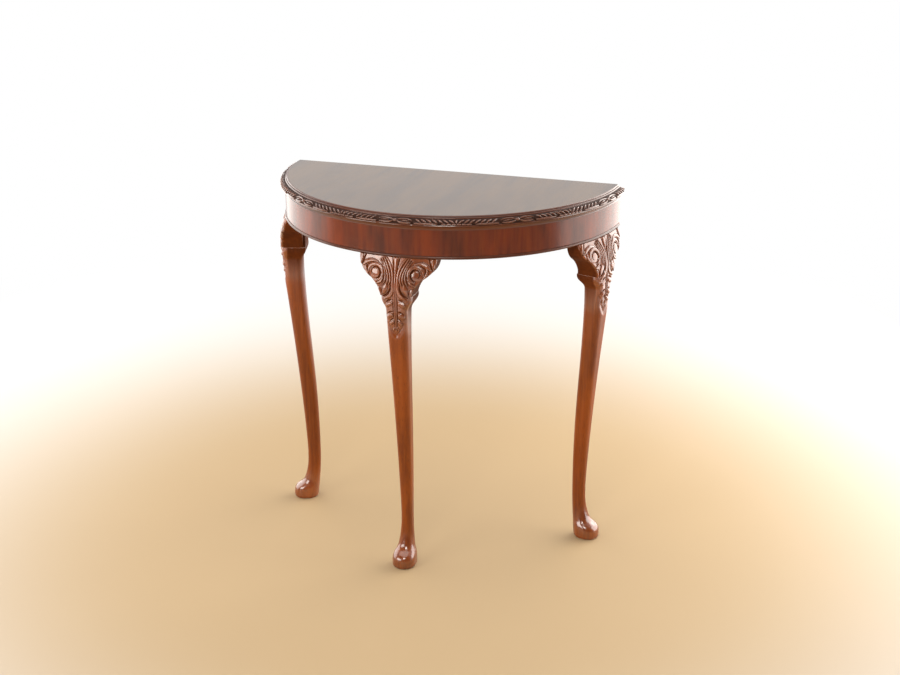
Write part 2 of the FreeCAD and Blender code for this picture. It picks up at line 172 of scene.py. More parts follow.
@dataclass(frozen=True)
class Stroke:
    """One stroke of a carver's gouge along a curve, widening and narrowing as it goes.

    Attributes:
        points: Places that the stroke runs through, on the carved face.
        widths: Half its width at each of those places.
        height: How far a ridge stands up, or a groove goes down.
        cut: Whether it leaves a ridge or a groove.
        steps: How many straight steps follow the curve.
        flank: How its sides fall: 0.5 is round, 1 runs out softly.
        thin: Share of the height that it keeps where its width runs out.
    """

    points: Points
    widths: tuple[float, ...]
    height: float
    cut: Cut = Cut.RIDGE
    steps: int = 36
    flank: float = 0.5
    thin: float = 0.45

    def profile(self, across: np.ndarray, down: np.ndarray) -> np.ndarray:
        """Gives the stroke's own height over a field of points.

        Args:
            across: First coordinate of each point on the carved face.
            down: Second coordinate of each point.

        Returns:
            Heights from 0 outside the stroke to its full height along its middle.
        """
        known = np.linspace(0.0, 1.0, len(self.points))
        wanted = np.linspace(0.0, 1.0, self.steps + 1)
        path = through(known, np.array(self.points, float), wanted)
        widths = np.interp(wanted, known, self.widths)
        result = np.zeros_like(across)
        for here, there, wide, next_wide in zip(path[:-1], path[1:], widths[:-1], widths[1:]):
            reach, share = off_line(across, down, here, there)
            width = wide + (next_wide - wide) * share
            fall = np.clip(1.0 - (reach / np.maximum(width, 1e-6)) ** 2, 0.0, 1.0)
            depth = np.minimum(1.0, self.thin + (1.0 - self.thin) * width / max(self.widths))
            result = np.maximum(result, self.height * depth * fall ** self.flank)
        return result


def carve(strokes: tuple[Stroke, ...], ground: np.ndarray, across: np.ndarray,
          down: np.ndarray) -> np.ndarray:
    """Raises every ridge from the ground and then cuts every groove.

    Args:
        strokes: The carver's strokes.
        ground: Level of the uncarved face at each point.
        across: First coordinate of each point.
        down: Second coordinate of each point.

    Returns:
        The carved level at each point.
    """
    level = ground.copy()
    for stroke in strokes:
        if stroke.cut is Cut.RIDGE:
            level = np.maximum(level, ground + stroke.profile(across, down))
    for stroke in strokes:
        if stroke.cut is Cut.GROOVE:
            level = level - stroke.profile(across, down)
    return level


def around(level: Callable[[np.ndarray, np.ndarray], np.ndarray], across: np.ndarray,
           down: np.ndarray, reach: float = 1.7) -> np.ndarray:
    """Averages a carved level at a short reach on four sides of each point."""
    sides = ((reach, 0.0), (-reach, 0.0), (0.0, reach), (0.0, -reach))
    return sum(level(across + x, down + y) for x, y in sides) / len(sides)


@dataclass(frozen=True)
class TablePlan:
    """Sizes that several sub-assemblies share, as the frame has them."""

    height: float = 730.0
    field_radius: float = 338.5
    back_trim: float = 7.0
    edge_height: float = 30.0
    edge_reach: float = 16.5
    apron_step: float = 6.5
    apron_drop: float = 52.5
    panel_depth: float = 23.0
    back_y: float = 176.75

    @property
    def apron_radius(self) -> float:
        """Radius of the apron's face."""
        return self.field_radius + self.apron_step

    @property
    def axis_y(self) -> float:
        """Where the half circle's own axis stands."""
        return self.back_y + self.back_trim

    @property
    def shoulder(self) -> float:
        """Height of the apron's lower edge."""
        return self.height - self.edge_height - self.apron_drop

    @property
    def panel_underside(self) -> float:
        """Height of the underside of the top panel."""
        return self.height - self.panel_depth

    def place(self, turn: float, out: np.ndarray, side: np.ndarray,
              height: np.ndarray) -> np.ndarray:
        """Sets points of a leg's own frame into the table.

        Args:
            turn: Direction of the leg, in degrees about the half circle's axis.
            out: Distance of each point from that axis along the leg's direction.
            side: Distance of each point from the leg's centre line.
            height: Height of each point.

        Returns:
            The points in metres, with a last axis of three.
        """
        angle = math.radians(turn)
        x = out * math.cos(angle) - side * math.sin(angle)
        y = self.axis_y + out * math.sin(angle) + side * math.cos(angle)
        return np.stack([x, y, height + np.zeros_like(x)], axis=-1) * MM

    def half_turn(self, radius: float, steps: int, inset: float = 0.0) -> np.ndarray:
        """Gives the turns, in radians, of a half circle that stops short of the back."""
        stop = math.asin((self.back_trim + inset) / radius)
        return np.linspace(-math.pi + stop, -stop, steps + 1)


def stacked_faces(levels: int, ring: int) -> Faces:
    """Joins rings of points that run anticlockwise, one above the other, into a closed skin.

    Args:
        levels: How many rings there are.
        ring: How many points each ring has.

    Returns:
        Faces as tuples of point numbers, with a cap at each end.
    """
    faces: Faces = []
    for level in range(levels - 1):
        low = level * ring
        for step in range(ring):
            after = (step + 1) % ring
            faces.append((low + step, low + after, low + ring + after, low + ring + step))
    faces.append(tuple(reversed(range(ring))))
    faces.append(tuple(range((levels - 1) * ring, levels * ring)))
    return faces


def link(name: str, data: bpy.types.ID) -> bpy.types.Object:
    """Puts new data into the scene as an object at the origin.

    Args:
        name: Name of the object.
        data: Its mesh, lamp or camera.

    Returns:
        The new object.
    """
    made = bpy.data.objects.new(name, data)
    bpy.context.scene.collection.objects.link(made)
    return made


def smooth(mesh: bpy.types.Mesh, sharp: float) -> None:
    """Shades a mesh smoothly, but for edges that turn by more than the sharp angle in degrees."""
    mesh.polygons.foreach_set("use_smooth", np.ones(len(mesh.polygons), bool))
    mesh.set_sharp_from_angle(angle=math.radians(sharp))


def new_piece(name: str, points: np.ndarray, faces: Faces, sharp: float = 35.0) -> bpy.types.Object:
    """Makes a smooth-shaded mesh object.

    Args:
        name: Name of the piece.
        points: Points in metres, with a last axis of three.
        faces: Faces as tuples of point numbers.
        sharp: Edges that turn by more degrees than this stay crisp.

    Returns:
        The new object, at the origin.
    """
    mesh = bpy.data.meshes.new(name)
    mesh.from_pydata(points.reshape(-1, 3).tolist(), [], faces)
    mesh.update()
    smooth(mesh, sharp)
    return link(name, mesh)


def plain_mesh(holder: bpy.types.Object) -> bpy.types.Mesh:
    """Keeps what an object's modifiers make of it as a plain mesh.

    Args:
        holder: The object with its modifiers.

    Returns:
        The resulting mesh.
    """
    bpy.context.view_layer.update()
    graph = bpy.context.evaluated_depsgraph_get()
    return bpy.data.meshes.new_from_object(holder.evaluated_get(graph))


def keep_values(piece: bpy.types.Object, name: str, values: np.ndarray) -> None:
    """Stores a value, or a vector, with every point of a piece.

    Args:
        piece: The object to mark.
        name: Name of the attribute.
        values: One number or three numbers for each point.
    """
    kind, key = ("FLOAT", "value") if values.ndim == 1 else ("FLOAT_VECTOR", "vector")
    attribute = piece.data.attributes.new(name, kind, "POINT")
    attribute.data.foreach_set(key, values.astype(np.float32).ravel())


def settle(piece: bpy.types.Object, finish: bpy.types.Material, slot: Slot, *nodes: str) -> None:
    """Gives a piece its finish and its place on the table's one body.

    Args:
        piece: The finished piece.
        finish: Its material.
        slot: The record's slot that it belongs to; not used.
        nodes: Frame nodes that it stands for.
    """
    piece.data.materials.clear()
    piece.data.materials.append(finish)
    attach(piece, "root")
    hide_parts(*nodes)
    count = len(piece.data.polygons)
    LOG.info("%s: %d faces, stands for %s", piece.name, count, ", ".join(nodes))


class NodeSheet:
    """Places and links the nodes of one tree, from left to right."""

    SPACING = 220

    def __init__(self, tree: bpy.types.NodeTree) -> None:
        """Keeps the tree that the nodes go on."""
        self.tree = tree
        self.column = 0

    def add(self, kind: str, inputs: dict[str | int, object] | None = None,
            **settings: object) -> bpy.types.Node:
        """Adds one node.

        Args:
            kind: Blender's name for the node.
            inputs: Values, or sockets to link from, by the input's name or number.
            settings: Properties of the node itself.

        Returns:
            The new node.
        """
        node = self.tree.nodes.new(kind)
        node.location = (self.SPACING * self.column, 0)
        self.column += 1
        for key, value in settings.items():
            setattr(node, key, value)
        for key, value in (inputs or {}).items():
            if isinstance(value, Socket):
                self.tree.links.new(value, node.inputs[key])
            else:
                node.inputs[key].default_value = value
        return node

    def mix(self, share: Socket | float, first: Socket | Colour, second: Socket | Colour) -> Socket:
        """Mixes two colours.

        Args:
            share: How much of the second colour shows.
            first: A colour or the socket of one.
            second: A colour or the socket of one.

        Returns:
            The mixed colour's socket.
        """
        node = self.add("ShaderNodeMix", data_type="RGBA")
        for name, value in (("Factor_Float", share), ("A_Color", first), ("B_Color", second)):
            socket = next(one for one in node.inputs if one.identifier == name)
            if isinstance(value, Socket):
                self.tree.links.new(value, socket)
            else:
                socket.default_value = (*value, 1.0) if isinstance(value, tuple) else value
        return next(one for one in node.outputs if one.identifier == "Result_Color")

    def span(self, value: Socket, low: float, high: float, start: float, end: float) -> Socket:
        """Maps a value between low and high to one between start and end, and holds it."""
        node = self.add("ShaderNodeMapRange", {0: value, 1: low, 2: high, 3: start, 4: end})
        return node.outputs["Result"]

    def maths(self, operation: str, *values: Socket | float) -> Socket:
        """Works out one step of arithmetic on sockets or numbers."""
        node = self.add("ShaderNodeMath", dict(enumerate(values)), operation=operation)
        return node.outputs[0]


def new_tree(name: str, kind: str, inputs: dict[str, str],
             outputs: dict[str, str]) -> bpy.types.NodeTree:
    """Opens a new node group with its named sockets.

    Args:
        name: Name of the group.
        kind: Whether it is a Shader or a Geometry tree.
        inputs: The kind of each input socket by its name.
        outputs: The kind of each output socket by its name.

    Returns:
        The tree, still without nodes.
    """
    tree = bpy.data.node_groups.new(name, f"{kind}NodeTree")
    for way, sockets in (("INPUT", inputs), ("OUTPUT", outputs)):
        for socket, sort in sockets.items():
            tree.interface.new_socket(socket, in_out=way, socket_type=f"NodeSocket{sort}")
    return tree


def new_material(name: str) -> tuple[bpy.types.Material, NodeSheet]:
    """Opens a new material without nodes.

    Args:
        name: Name of the material.

    Returns:
        The material, and the sheet that its nodes go on.
    """
    finish = bpy.data.materials.new(name)
    finish.use_nodes = True
    finish.node_tree.nodes.clear()
    return finish, NodeSheet(finish.node_tree)


def evaluated(holder: bpy.types.Object, tree: bpy.types.NodeTree,
              values: dict[str, object]) -> bpy.types.Mesh:
    """Runs a geometry node tree on an object and keeps the result as a plain mesh.

    Args:
        holder: The object that the tree works on.
        tree: The tree.
        values: Values of its inputs by name.

    Returns:
        The resulting mesh.
    """
    modifier = holder.modifiers.new(tree.name, "NODES")
    modifier.node_group = tree
    for item in tree.interface.items_tree:
        if item.in_out == "INPUT" and item.name in values:
            modifier[item.identifier] = values[item.name]
    holder.update_tag()
    mesh = plain_mesh(holder)
    holder.modifiers.remove(modifier)
    return mesh


class ShaderGroups:
    """Shared shader effects, each built once as a node group."""

    @staticmethod
    def grain() -> bpy.types.NodeTree:
        """Wood grain along the first axis of its vector: broad figure, fine streaks and pores.

        Returns:
            The group.
        """
        found = bpy.data.node_groups.get("wood_grain")
        if found:
            return found
        tree = new_tree(
            "wood_grain", "Shader",
            {"Vector": "Vector", "Figure Scale": "Float", "Streak Scale": "Float",
             "Pore Scale": "Float"},
            {"Figure": "Float", "Streak": "Float", "Pore": "Float", "Height": "Float"},
        )
        sheet = NodeSheet(tree)
        given = sheet.add("NodeGroupInput").outputs

        def noise(scale: str, stretch: float, **looks: float) -> Socket:
            """Makes noise that is drawn out along the grain.

            Args:
                scale: Name of the input that sets its scale.
                stretch: Its frequency along the grain, as a share of that across it.
                looks: Settings of the noise by name.

            Returns:
                The noise's value.
            """
            along = sheet.add("ShaderNodeVectorMath", {0: given["Vector"], 1: (stretch, 1.0, 1.0)},
                              operation="MULTIPLY")
            sized = sheet.add("ShaderNodeVectorMath", {0: along.outputs[0], "Scale": given[scale]},
                              operation="SCALE")
            return sheet.add("ShaderNodeTexNoise", {
                "Vector": sized.outputs[0], "Scale": 1.0,
                **{name.title(): value for name, value in looks.items()}}).outputs[0]

        figure = noise("Figure Scale", 0.22, detail=3.0, roughness=0.55, distortion=0.25)
        streak = noise("Streak Scale", 0.05, detail=5.0, roughness=0.62, distortion=0.25)
        speck = noise("Pore Scale", 0.035, detail=2.0, roughness=0.5)
        pore = sheet.span(speck, 0.60, 0.72, 0.0, 1.0)
        sheet.add("NodeGroupOutput", {
            "Figure": sheet.span(figure, 0.36, 0.64, 0.0, 1.0),
            "Streak": sheet.span(streak, 0.30, 0.70, 0.0, 1.0),
            "Pore": pore,
            "Height": sheet.maths("SUBTRACT", sheet.maths("MULTIPLY", streak, 0.4), pore),
        })
        return tree

    @staticmethod
    def wear_and_painted_light() -> bpy.types.NodeTree:
        """Wax and painted shade in recesses, painted highlights on crests, bright places and
        smears.

        Returns:
            The group.
        """
        found = bpy.data.node_groups.get("wear_and_painted_light")
        if found:
            return found
        marks = {"Wax": RECESS, "Rub": CREST, "Touch": TOUCH}
        tree = new_tree("wear_and_painted_light", "Shader", {"Vector": "Vector", "Smear Scale": "Float"},
                        dict.fromkeys((*marks, "Smear"), "Float"))
        sheet = NodeSheet(tree)
        given = sheet.add("NodeGroupInput").outputs
        smear = sheet.add("ShaderNodeTexNoise", {
            "Vector": given["Vector"], "Scale": given["Smear Scale"], "Detail": 4.0,
            "Roughness": 0.6}).outputs[0]
        # noise that makes the wax and painted shade, the painted highlights and the bright places
        # uneven
        patchiness = sheet.span(smear, 0.25, 0.7, 0.75, 1.0)
        result = {"Smear": sheet.span(smear, 0.3, 0.72, 0.0, 1.0)}
        for name, attribute in marks.items():
            stored = sheet.add("ShaderNodeAttribute", attribute_name=attribute)
            result[name] = sheet.maths("MULTIPLY", stored.outputs["Fac"], patchiness)
        sheet.add("NodeGroupOutput", result)
        return tree


@dataclass(frozen=True)
class WoodFinish:
    """A timber and its polish."""

    name: str
    # figure from dark to light, wax with painted shade in recesses, and a painted highlight on
    # crests
    dark: Colour
    mid: Colour
    light: Colour
    wax: Colour = (0.012, 0.005, 0.003)
    crest_highlight: Colour = (0.34, 0.23, 0.17)
    rub: float = 0.0
    # how many of each lie in a metre, across the grain where there is one
    figure_scale: float = 18.0
    streak_scale: float = 220.0
    pore_scale: float = 900.0
    smear_scale: float = 9.0
    # roughness of the wood, and what smears and wax add to it
    gloss: float = 0.20
    smear_haze: float = 0.08
    wax_haze: float = 0.45
    specular: float = 0.40
    # clear polish, full where hands and dusters reach most, fading between two amounts of wax and
    # painted shade
    polish: float = 0.15
    polish_roughness: float = 0.07
    polish_index: float = 1.5
    polish_ends: tuple[float, float] = (0.1, 0.6)
    # how strongly each layer shows, and the grain's depth in metres
    streak: float = 0.62
    pore_tint: float = 0.45
    wax_and_shade_tint: float = 0.92
    relief: float = 0.06
    relief_depth: float = 0.0004
    # the piece's own grain, or one direction, with two leaves mirrored where matched
    own_grain: bool = False
    along: Along = Along.X
    matched: bool = False

    def _grain_place(self, sheet: NodeSheet) -> Socket:
        """Gives the place on the grain, with the grain along the first axis.

        Args:
            sheet: The material's own sheet.

        Returns:
            The place's socket.
        """
        if self.own_grain:
            return sheet.add("ShaderNodeAttribute", attribute_name=GRAIN).outputs["Vector"]
        place = sheet.add("ShaderNodeTexCoord").outputs["Object"]
        if self.matched:
            axes = sheet.add("ShaderNodeSeparateXYZ", {0: place}).outputs
            mirrored = {"X": sheet.maths("ABSOLUTE", axes["X"]), "Y": axes["Y"], "Z": axes["Z"]}
            place = sheet.add("ShaderNodeCombineXYZ", mirrored).outputs[0]
        turn = tuple(math.radians(one) for one in self.along.value)
        return sheet.add("ShaderNodeMapping", {"Vector": place, "Rotation": turn}).outputs[0]

    def material(self) -> bpy.types.Material:
        """Builds the finish as a material, once.

        Returns:
            The material.
        """
        found = bpy.data.materials.get(self.name)
        if found:
            return found
        finish, sheet = new_material(self.name)
        place = self._grain_place(sheet)

        def group(tree: bpy.types.NodeTree, scales: dict[str, float]) -> dict[str, Socket]:
            """Adds a shared effect at the place on the grain.

            Args:
                tree: The effect's group.
                scales: Its scales by name.

            Returns:
                Its outputs by name.
            """
            node = sheet.add("ShaderNodeGroup", node_tree=tree)
            sheet.tree.links.new(place, node.inputs["Vector"])
            for name, scale in scales.items():
                node.inputs[name].default_value = scale
            return dict(node.outputs.items())

        grain = group(ShaderGroups.grain(), {
            "Figure Scale": self.figure_scale, "Streak Scale": self.streak_scale,
            "Pore Scale": self.pore_scale})
        finish_marks = group(ShaderGroups.wear_and_painted_light(), {"Smear Scale": self.smear_scale})
        colour = sheet.mix(grain["Figure"], self.dark, self.mid)
        # wax and pores darken the grain, with painted shade in the recesses; the pale crests are a
        # painted highlight
        layers = ((grain["Streak"], self.streak, self.light),
                  (grain["Pore"], self.pore_tint, self.wax),
                  (finish_marks["Wax"], self.wax_and_shade_tint, self.wax),
                  (finish_marks["Rub"], self.rub, self.crest_highlight))
        for mask, strength, tint in layers:
            colour = sheet.mix(sheet.maths("MULTIPLY", mask, strength), colour, tint)
        rough = sheet.span(finish_marks["Smear"], 0.0, 1.0, self.gloss, self.gloss + self.smear_haze)
        hazed = sheet.maths("ADD", rough, sheet.maths("MULTIPLY", finish_marks["Wax"], self.wax_haze))
        clear = sheet.maths("MULTIPLY", sheet.span(finish_marks["Touch"], 0.0, 1.0, self.polish, 1.0),
                            sheet.span(finish_marks["Wax"], *self.polish_ends, 1.0, 0.0))
        bump = sheet.add("ShaderNodeBump", {
            "Strength": self.relief, "Distance": self.relief_depth, "Height": grain["Height"]})
        wood = sheet.add("ShaderNodeBsdfPrincipled", {
            "Base Color": colour,
            "Roughness": hazed,
            "Specular IOR Level": self.specular,
            "Coat Weight": clear,
            "Coat Roughness": self.polish_roughness,
            "Coat IOR": self.polish_index,
            "Normal": bump.outputs[0],
        })
        sheet.add("ShaderNodeOutputMaterial", {"Surface": wood.outputs[0]})
        return finish


@dataclass(frozen=True)
class SteelFinish:
    """Bright steel, dulled in spots between two levels of a noise."""

    name: str = "dull_screw_steel"
    bright: Colour = (0.46, 0.44, 0.42)
    dull: Colour = (0.20, 0.17, 0.14)
    spot_scale: float = 420.0
    spots: tuple[float, float] = (0.40, 0.66)
    roughness: tuple[float, float] = (0.28, 0.55)

    def material(self) -> bpy.types.Material:
        """Builds the finish as a material.

        Returns:
            The material.
        """
        finish, sheet = new_material(self.name)
        place = sheet.add("ShaderNodeTexCoord").outputs["Object"]
        noise = sheet.add("ShaderNodeTexNoise", {
            "Vector": place, "Scale": self.spot_scale, "Detail": 5.0}).outputs[0]
        tarnish = sheet.span(noise, *self.spots, 0.0, 1.0)
        steel = sheet.add("ShaderNodeBsdfPrincipled", {
            "Base Color": sheet.mix(tarnish, self.bright, self.dull),
            "Roughness": sheet.span(tarnish, 0.0, 1.0, *self.roughness),
            "Metallic": 1.0,
        })
        sheet.add("ShaderNodeOutputMaterial", {"Surface": steel.outputs[0]})
        return finish


TOP_FINISH = WoodFinish(
    "polished_mahogany_field", dark=(0.040, 0.014, 0.006), mid=(0.105, 0.045, 0.010),
    light=(0.180, 0.085, 0.017), figure_scale=12.0, along=Along.Y, matched=True,
    gloss=0.12, specular=0.5, polish=0.35, polish_roughness=0.05,
)
FRIEZE_FINISH = WoodFinish(
    "polished_mahogany_frieze", dark=(0.058, 0.010, 0.003), mid=(0.165, 0.023, 0.002),
    light=(0.280, 0.054, 0.004), figure_scale=28.0, streak_scale=110.0, pore_scale=1500.0,
    own_grain=True, gloss=0.22, specular=0.0, polish=1.0, polish_roughness=0.22,
    polish_index=1.38, streak=0.28,
)
# the edge and the legs take a painted highlight on their carved crests
EDGE_FINISH = WoodFinish(
    "polished_mahogany_edge", dark=(0.070, 0.012, 0.004), mid=(0.125, 0.026, 0.007),
    light=(0.190, 0.048, 0.013), own_grain=True, gloss=0.20, specular=0.2, polish=0.9,
    polish_roughness=0.08, polish_index=1.6, rub=0.16,
)
LEG_FINISH = WoodFinish(
    "polished_mahogany_leg", dark=(0.132, 0.021, 0.001), mid=(0.256, 0.046, 0.001),
    light=(0.365, 0.083, 0.002), figure_scale=22.0, own_grain=True, gloss=0.30, specular=0.1,
    polish=0.34, polish_roughness=0.16, polish_index=1.9, streak=0.42, rub=0.25,
)


def frame_finish(along: Along) -> WoodFinish:
    """Gives the stained, unpolished timber of the hidden frame.

    Args:
        along: Direction of its grain.

    Returns:
        The finish.
    """
    return WoodFinish(
        f"stained_frame_timber_{along.name.lower()}", dark=(0.105, 0.050, 0.022),
        mid=(0.165, 0.086, 0.040), light=(0.235, 0.135, 0.068), figure_scale=16.0,
        streak_scale=150.0, pore_scale=520.0, gloss=0.58, specular=0.3, polish=0.0, relief=0.35,
        along=along,
    )


@dataclass(frozen=True)
class KneeCarving:
    """Leaf carving of a knee, mirrored about the centre line of the leg.

    Places on the carved face are pairs, distance from the centre line and height, and levels are
    measured from the frame's face.
    """

    # smooth bulb of the scroll, and the rolled rim that winds round it
    bulb: tuple[float, float] = (40.8, 618.2)
    bulb_radius: float = 11.4
    bulb_height: float = 2.1
    rim_radius: float = 16.2
    # leaf by the scroll and below the ears, and the heights between which it changes
    leaf: float = -0.9
    low_leaf: float = -1.9
    leaf_change: tuple[float, float] = (572.0, 604.0)
    # ground outside the leaf's edge, its run into the plain leg, and the drop at the edge
    sunk: float = -2.6
    fade: float = 10.0
    arris: tuple[float, float] = (-0.5, 0.6)
    # tip of the leaf, and the rounded edge of an ear
    tail: float = 498.0
    edge_round: float = 2.4
    # depth below the neighbours that takes full wax and painted shade, and the most of it that
    # stays; crests take a painted highlight
    mark_depth: float = 0.8
    most_wax_and_shade: float = 0.85
    # scalloped lower edge of the leaf, from its tip up to the ear
    edge_steps: int = 90
    edge: Points = (
        (0.0, 498.0), (3.5, 502.0), (6.8, 507.0), (10.4, 512.5), (12.6, 519.0), (12.4, 525.0),
        (16.0, 528.5), (18.0, 533.5), (16.8, 541.0), (18.6, 547.0), (20.0, 554.5), (18.8, 561.5),
        (22.0, 564.5), (26.0, 568.5), (26.8, 574.0), (26.0, 580.0), (27.0, 586.0), (30.0, 591.0),
        (37.5, 593.6), (46.0, 600.0), (80.0, 602.0),
    )

    def _wind(self, radii: tuple[float, float], start: float, sweep: float,
              widths: tuple[float, ...], height: float, cut: Cut) -> Stroke:
        """Winds a stroke round the bulb.

        Args:
            radii: Its distance from the bulb's centre at its start and at its end.
            start: Direction of its start in degrees.
            sweep: Degrees that it turns through, against the clock.
            widths: Half its width, evenly along it.
            height: Its height or depth.
            cut: Whether it is a ridge or a groove.

        Returns:
            The stroke.
        """
        share = np.linspace(0.0, 1.0, len(widths))
        angles = np.radians(start + sweep * share)
        radius = blend(*radii, share)
        points = tuple(zip(self.bulb[0] + radius * np.cos(angles),
                           self.bulb[1] + radius * np.sin(angles)))
        return Stroke(points, widths, height, cut, steps=56)

    def strokes(self) -> tuple[Stroke, ...]:
        """Lists the strokes of one half of the carving.

        Returns:
            The strokes: the scroll, the leaves round it, and the husks below.
        """
        across, height = self.bulb
        groove = Cut.GROOVE
        return (
            # bulb, the groove that winds into it and the rolled rim
            Stroke(((across - 0.6, height), (across + 0.6, height)), (self.bulb_radius + 1.2,) * 2,
                   self.bulb_height, steps=2, flank=1.0),
            self._wind((self.bulb_radius + 1.2, self.bulb_radius - 5.8), 268.0, -330.0,
                       (0.3, 1.1, 1.6, 1.9, 1.9, 1.8, 1.7, 1.6, 1.4, 1.2, 1.1, 1.0, 0.8, 0.5, 0.3),
                       2.4, groove),
            self._wind((self.rim_radius, self.rim_radius - 2.4), 254.0, -262.0,
                       (0.9, 2.1, 2.8, 3.2, 3.4, 3.5, 3.5, 3.3, 3.0, 2.4, 1.0), 2.5, Cut.RIDGE),
            # broad leaf from the rim out to the tip of the ear
            Stroke(((36.0, 637.0), (48.0, 638.5), (59.0, 635.0), (66.0, 628.5)),
                   (1.2, 3.0, 3.6, 1.8), 2.6),
            Stroke(((47.0, 632.8), (54.6, 631.0), (58.2, 625.6), (56.8, 619.0)),
                   (0.3, 0.9, 1.0, 0.4), 1.2, groove),
            # leaf lobes, from the centre vein outwards
            Stroke(((20, 647), (11.0, 634), (6.0, 620), (4.6, 602), (5.4, 587), (10.5, 576.5),
                    (21.5, 568.5)), (0.9, 2.0, 2.3, 2.4, 3.0, 4.0, 1.3), 2.6),
            Stroke(((24.5, 646.5), (16.4, 632), (10.6, 617), (9.8, 605), (13.4, 596.0)),
                   (0.8, 1.8, 2.1, 2.1, 0.7), 2.3),
            Stroke(((28.5, 645), (20.8, 631), (15.4, 617), (14.8, 605.5), (18.8, 595.5)),
                   (0.8, 1.7, 2.0, 2.0, 0.7), 2.2),
            Stroke(((32, 642.5), (24.6, 632), (19.8, 617.5), (20.2, 606), (24.5, 596.5)),
                   (0.7, 1.3, 1.6, 1.9, 0.7), 2.2),
            Stroke(((24.6, 609.5), (29.4, 601.6), (38.4, 596.6)), (1.3, 2.8, 0.9), 2.4),
            # smooth lower leaf above the curled one, and the hollow between them
            Stroke(((17.5, 597), (20.0, 588.5), (23.5, 580.5)), (2.4, 5.6, 2.4), 2.2),
            Stroke(((9.4, 599), (9.8, 588), (15.0, 578.8), (24.5, 573.2)), (0.7, 1.9, 2.6, 1.2),
                   2.6, groove),
            # lobes between the scroll and the tip of the ear
            Stroke(((60.0, 630), (60.8, 624), (57.5, 615.5), (51.0, 608)), (0.9, 2.3, 2.4, 0.8),
                   2.2),
            Stroke(((70, 627), (66.4, 635), (62.6, 647)), (1.0, 1.4, 1.2), 2.2, groove),
            Stroke(((72.4, 630), (70.6, 638), (69.0, 646.5)), (1.2, 2.8, 2.6), 2.0),
            # tulip, stem and husks down the middle
            Stroke(((0, 646), (0, 636), (0, 622)), (4.6, 3.2, 0.7), 2.4),
            Stroke(((7.2, 647), (5.0, 635), (2.6, 619)), (0.9, 1.2, 0.5), 1.6, groove),
            Stroke(((0, 622), (0, 590), (0, 560), (0, 530), (0, 501)), (1.2, 2.8, 3.0, 2.6, 0.9),
                   1.4),
            Stroke(((0, 592), (0, 560), (0, 512)), (0.4, 0.9, 0.5), 1.3, groove),
            Stroke(((4.2, 574), (4.2, 556), (3.6, 530), (1.8, 506)), (0.4, 1.0, 0.9, 0.5),
                   1.2, groove),
            Stroke(((8.8, 560.4), (15.8, 556.8)), (3.3, 3.7), 1.9, steps=4),
            Stroke(((6.2, 568.6), (11.5, 566.8), (18.0, 562.6)), (0.8, 2.4, 1.0), 2.0, groove),
            Stroke(((8.4, 537.0), (14.8, 533.6)), (3.0, 3.4), 1.9, steps=4),
            Stroke(((5.8, 544.6), (10.5, 543.0), (16.2, 539.2)), (0.8, 2.3, 1.0), 2.0, groove),
            Stroke(((5.6, 523.0), (10.0, 519.8)), (2.6, 3.0), 1.8, steps=4),
            Stroke(((3.4, 530.2), (6.8, 529.0), (11.4, 525.0)), (0.7, 2.0, 0.8), 1.8, groove),
            Stroke(((2.8, 511.5), (5.2, 507)), (1.6, 2.0), 1.4, steps=3),
        )

    def _ground(self, across: np.ndarray, height: np.ndarray) -> np.ndarray:
        """Gives the level of the leaf and of the sunk ground round its scalloped edge.

        Args:
            across: Distance of each point from the centre line.
            height: Height of each point.

        Returns:
            The level at each point before any stroke is cut.
        """
        known = np.linspace(0.0, 1.0, len(self.edge))
        wanted = np.linspace(0.0, 1.0, self.edge_steps)
        line = through(known, np.array(self.edge, float), wanted)
        order = np.argsort(line[:, 1])
        width = np.interp(height, line[order, 1], line[order, 0])
        inside = (across <= width) & (height >= self.tail)
        beyond = np.full_like(across, np.inf)
        for here, there in zip(line[:-1], line[1:]):
            beyond = np.minimum(beyond, off_line(across, height, here, there)[0])
        signed = np.where(inside, -beyond, beyond)
        outside = self.sunk * (1.0 - ease(0.0, self.fade, signed))
        leaf = blend(self.low_leaf, self.leaf, ease(*self.leaf_change, height))
        return blend(leaf, outside, ease(*self.arris, signed))

    def level(self, side: np.ndarray, height: np.ndarray) -> np.ndarray:
        """Gives how far points at a side and a height stand out from the frame's face."""
        across = np.abs(side)
        return carve(self.strokes(), self._ground(across, height), across, height)

    def wax_shade_and_highlight(self, side: np.ndarray, height: np.ndarray, level: np.ndarray) -> np.ndarray:
        """Gives wax and painted shade in recesses and a painted highlight on crests, 0 to 1, of
        carved points.
        """
        sunk = (around(self.level, side, height) - level) / self.mark_depth
        return np.stack([np.clip(sunk, 0.0, self.most_wax_and_shade), np.clip(-sunk, 0.0, 1.0)], axis=-1)


class Section(NamedTuple):
    """A level section of a leg.

    Attributes:
        back: Reach of its back.
        front: Reach of its front on the centre line.
        width: Its width.
        corner: Rounding of its front corners, as a share of the most that fits.
        heel_corner: Rounding of its back corners.
        bowed: How far its front follows the apron's curve, from 0 to 1.
    """

    back: float
    front: float
    width: float
    corner: float
    heel_corner: float
    bowed: float


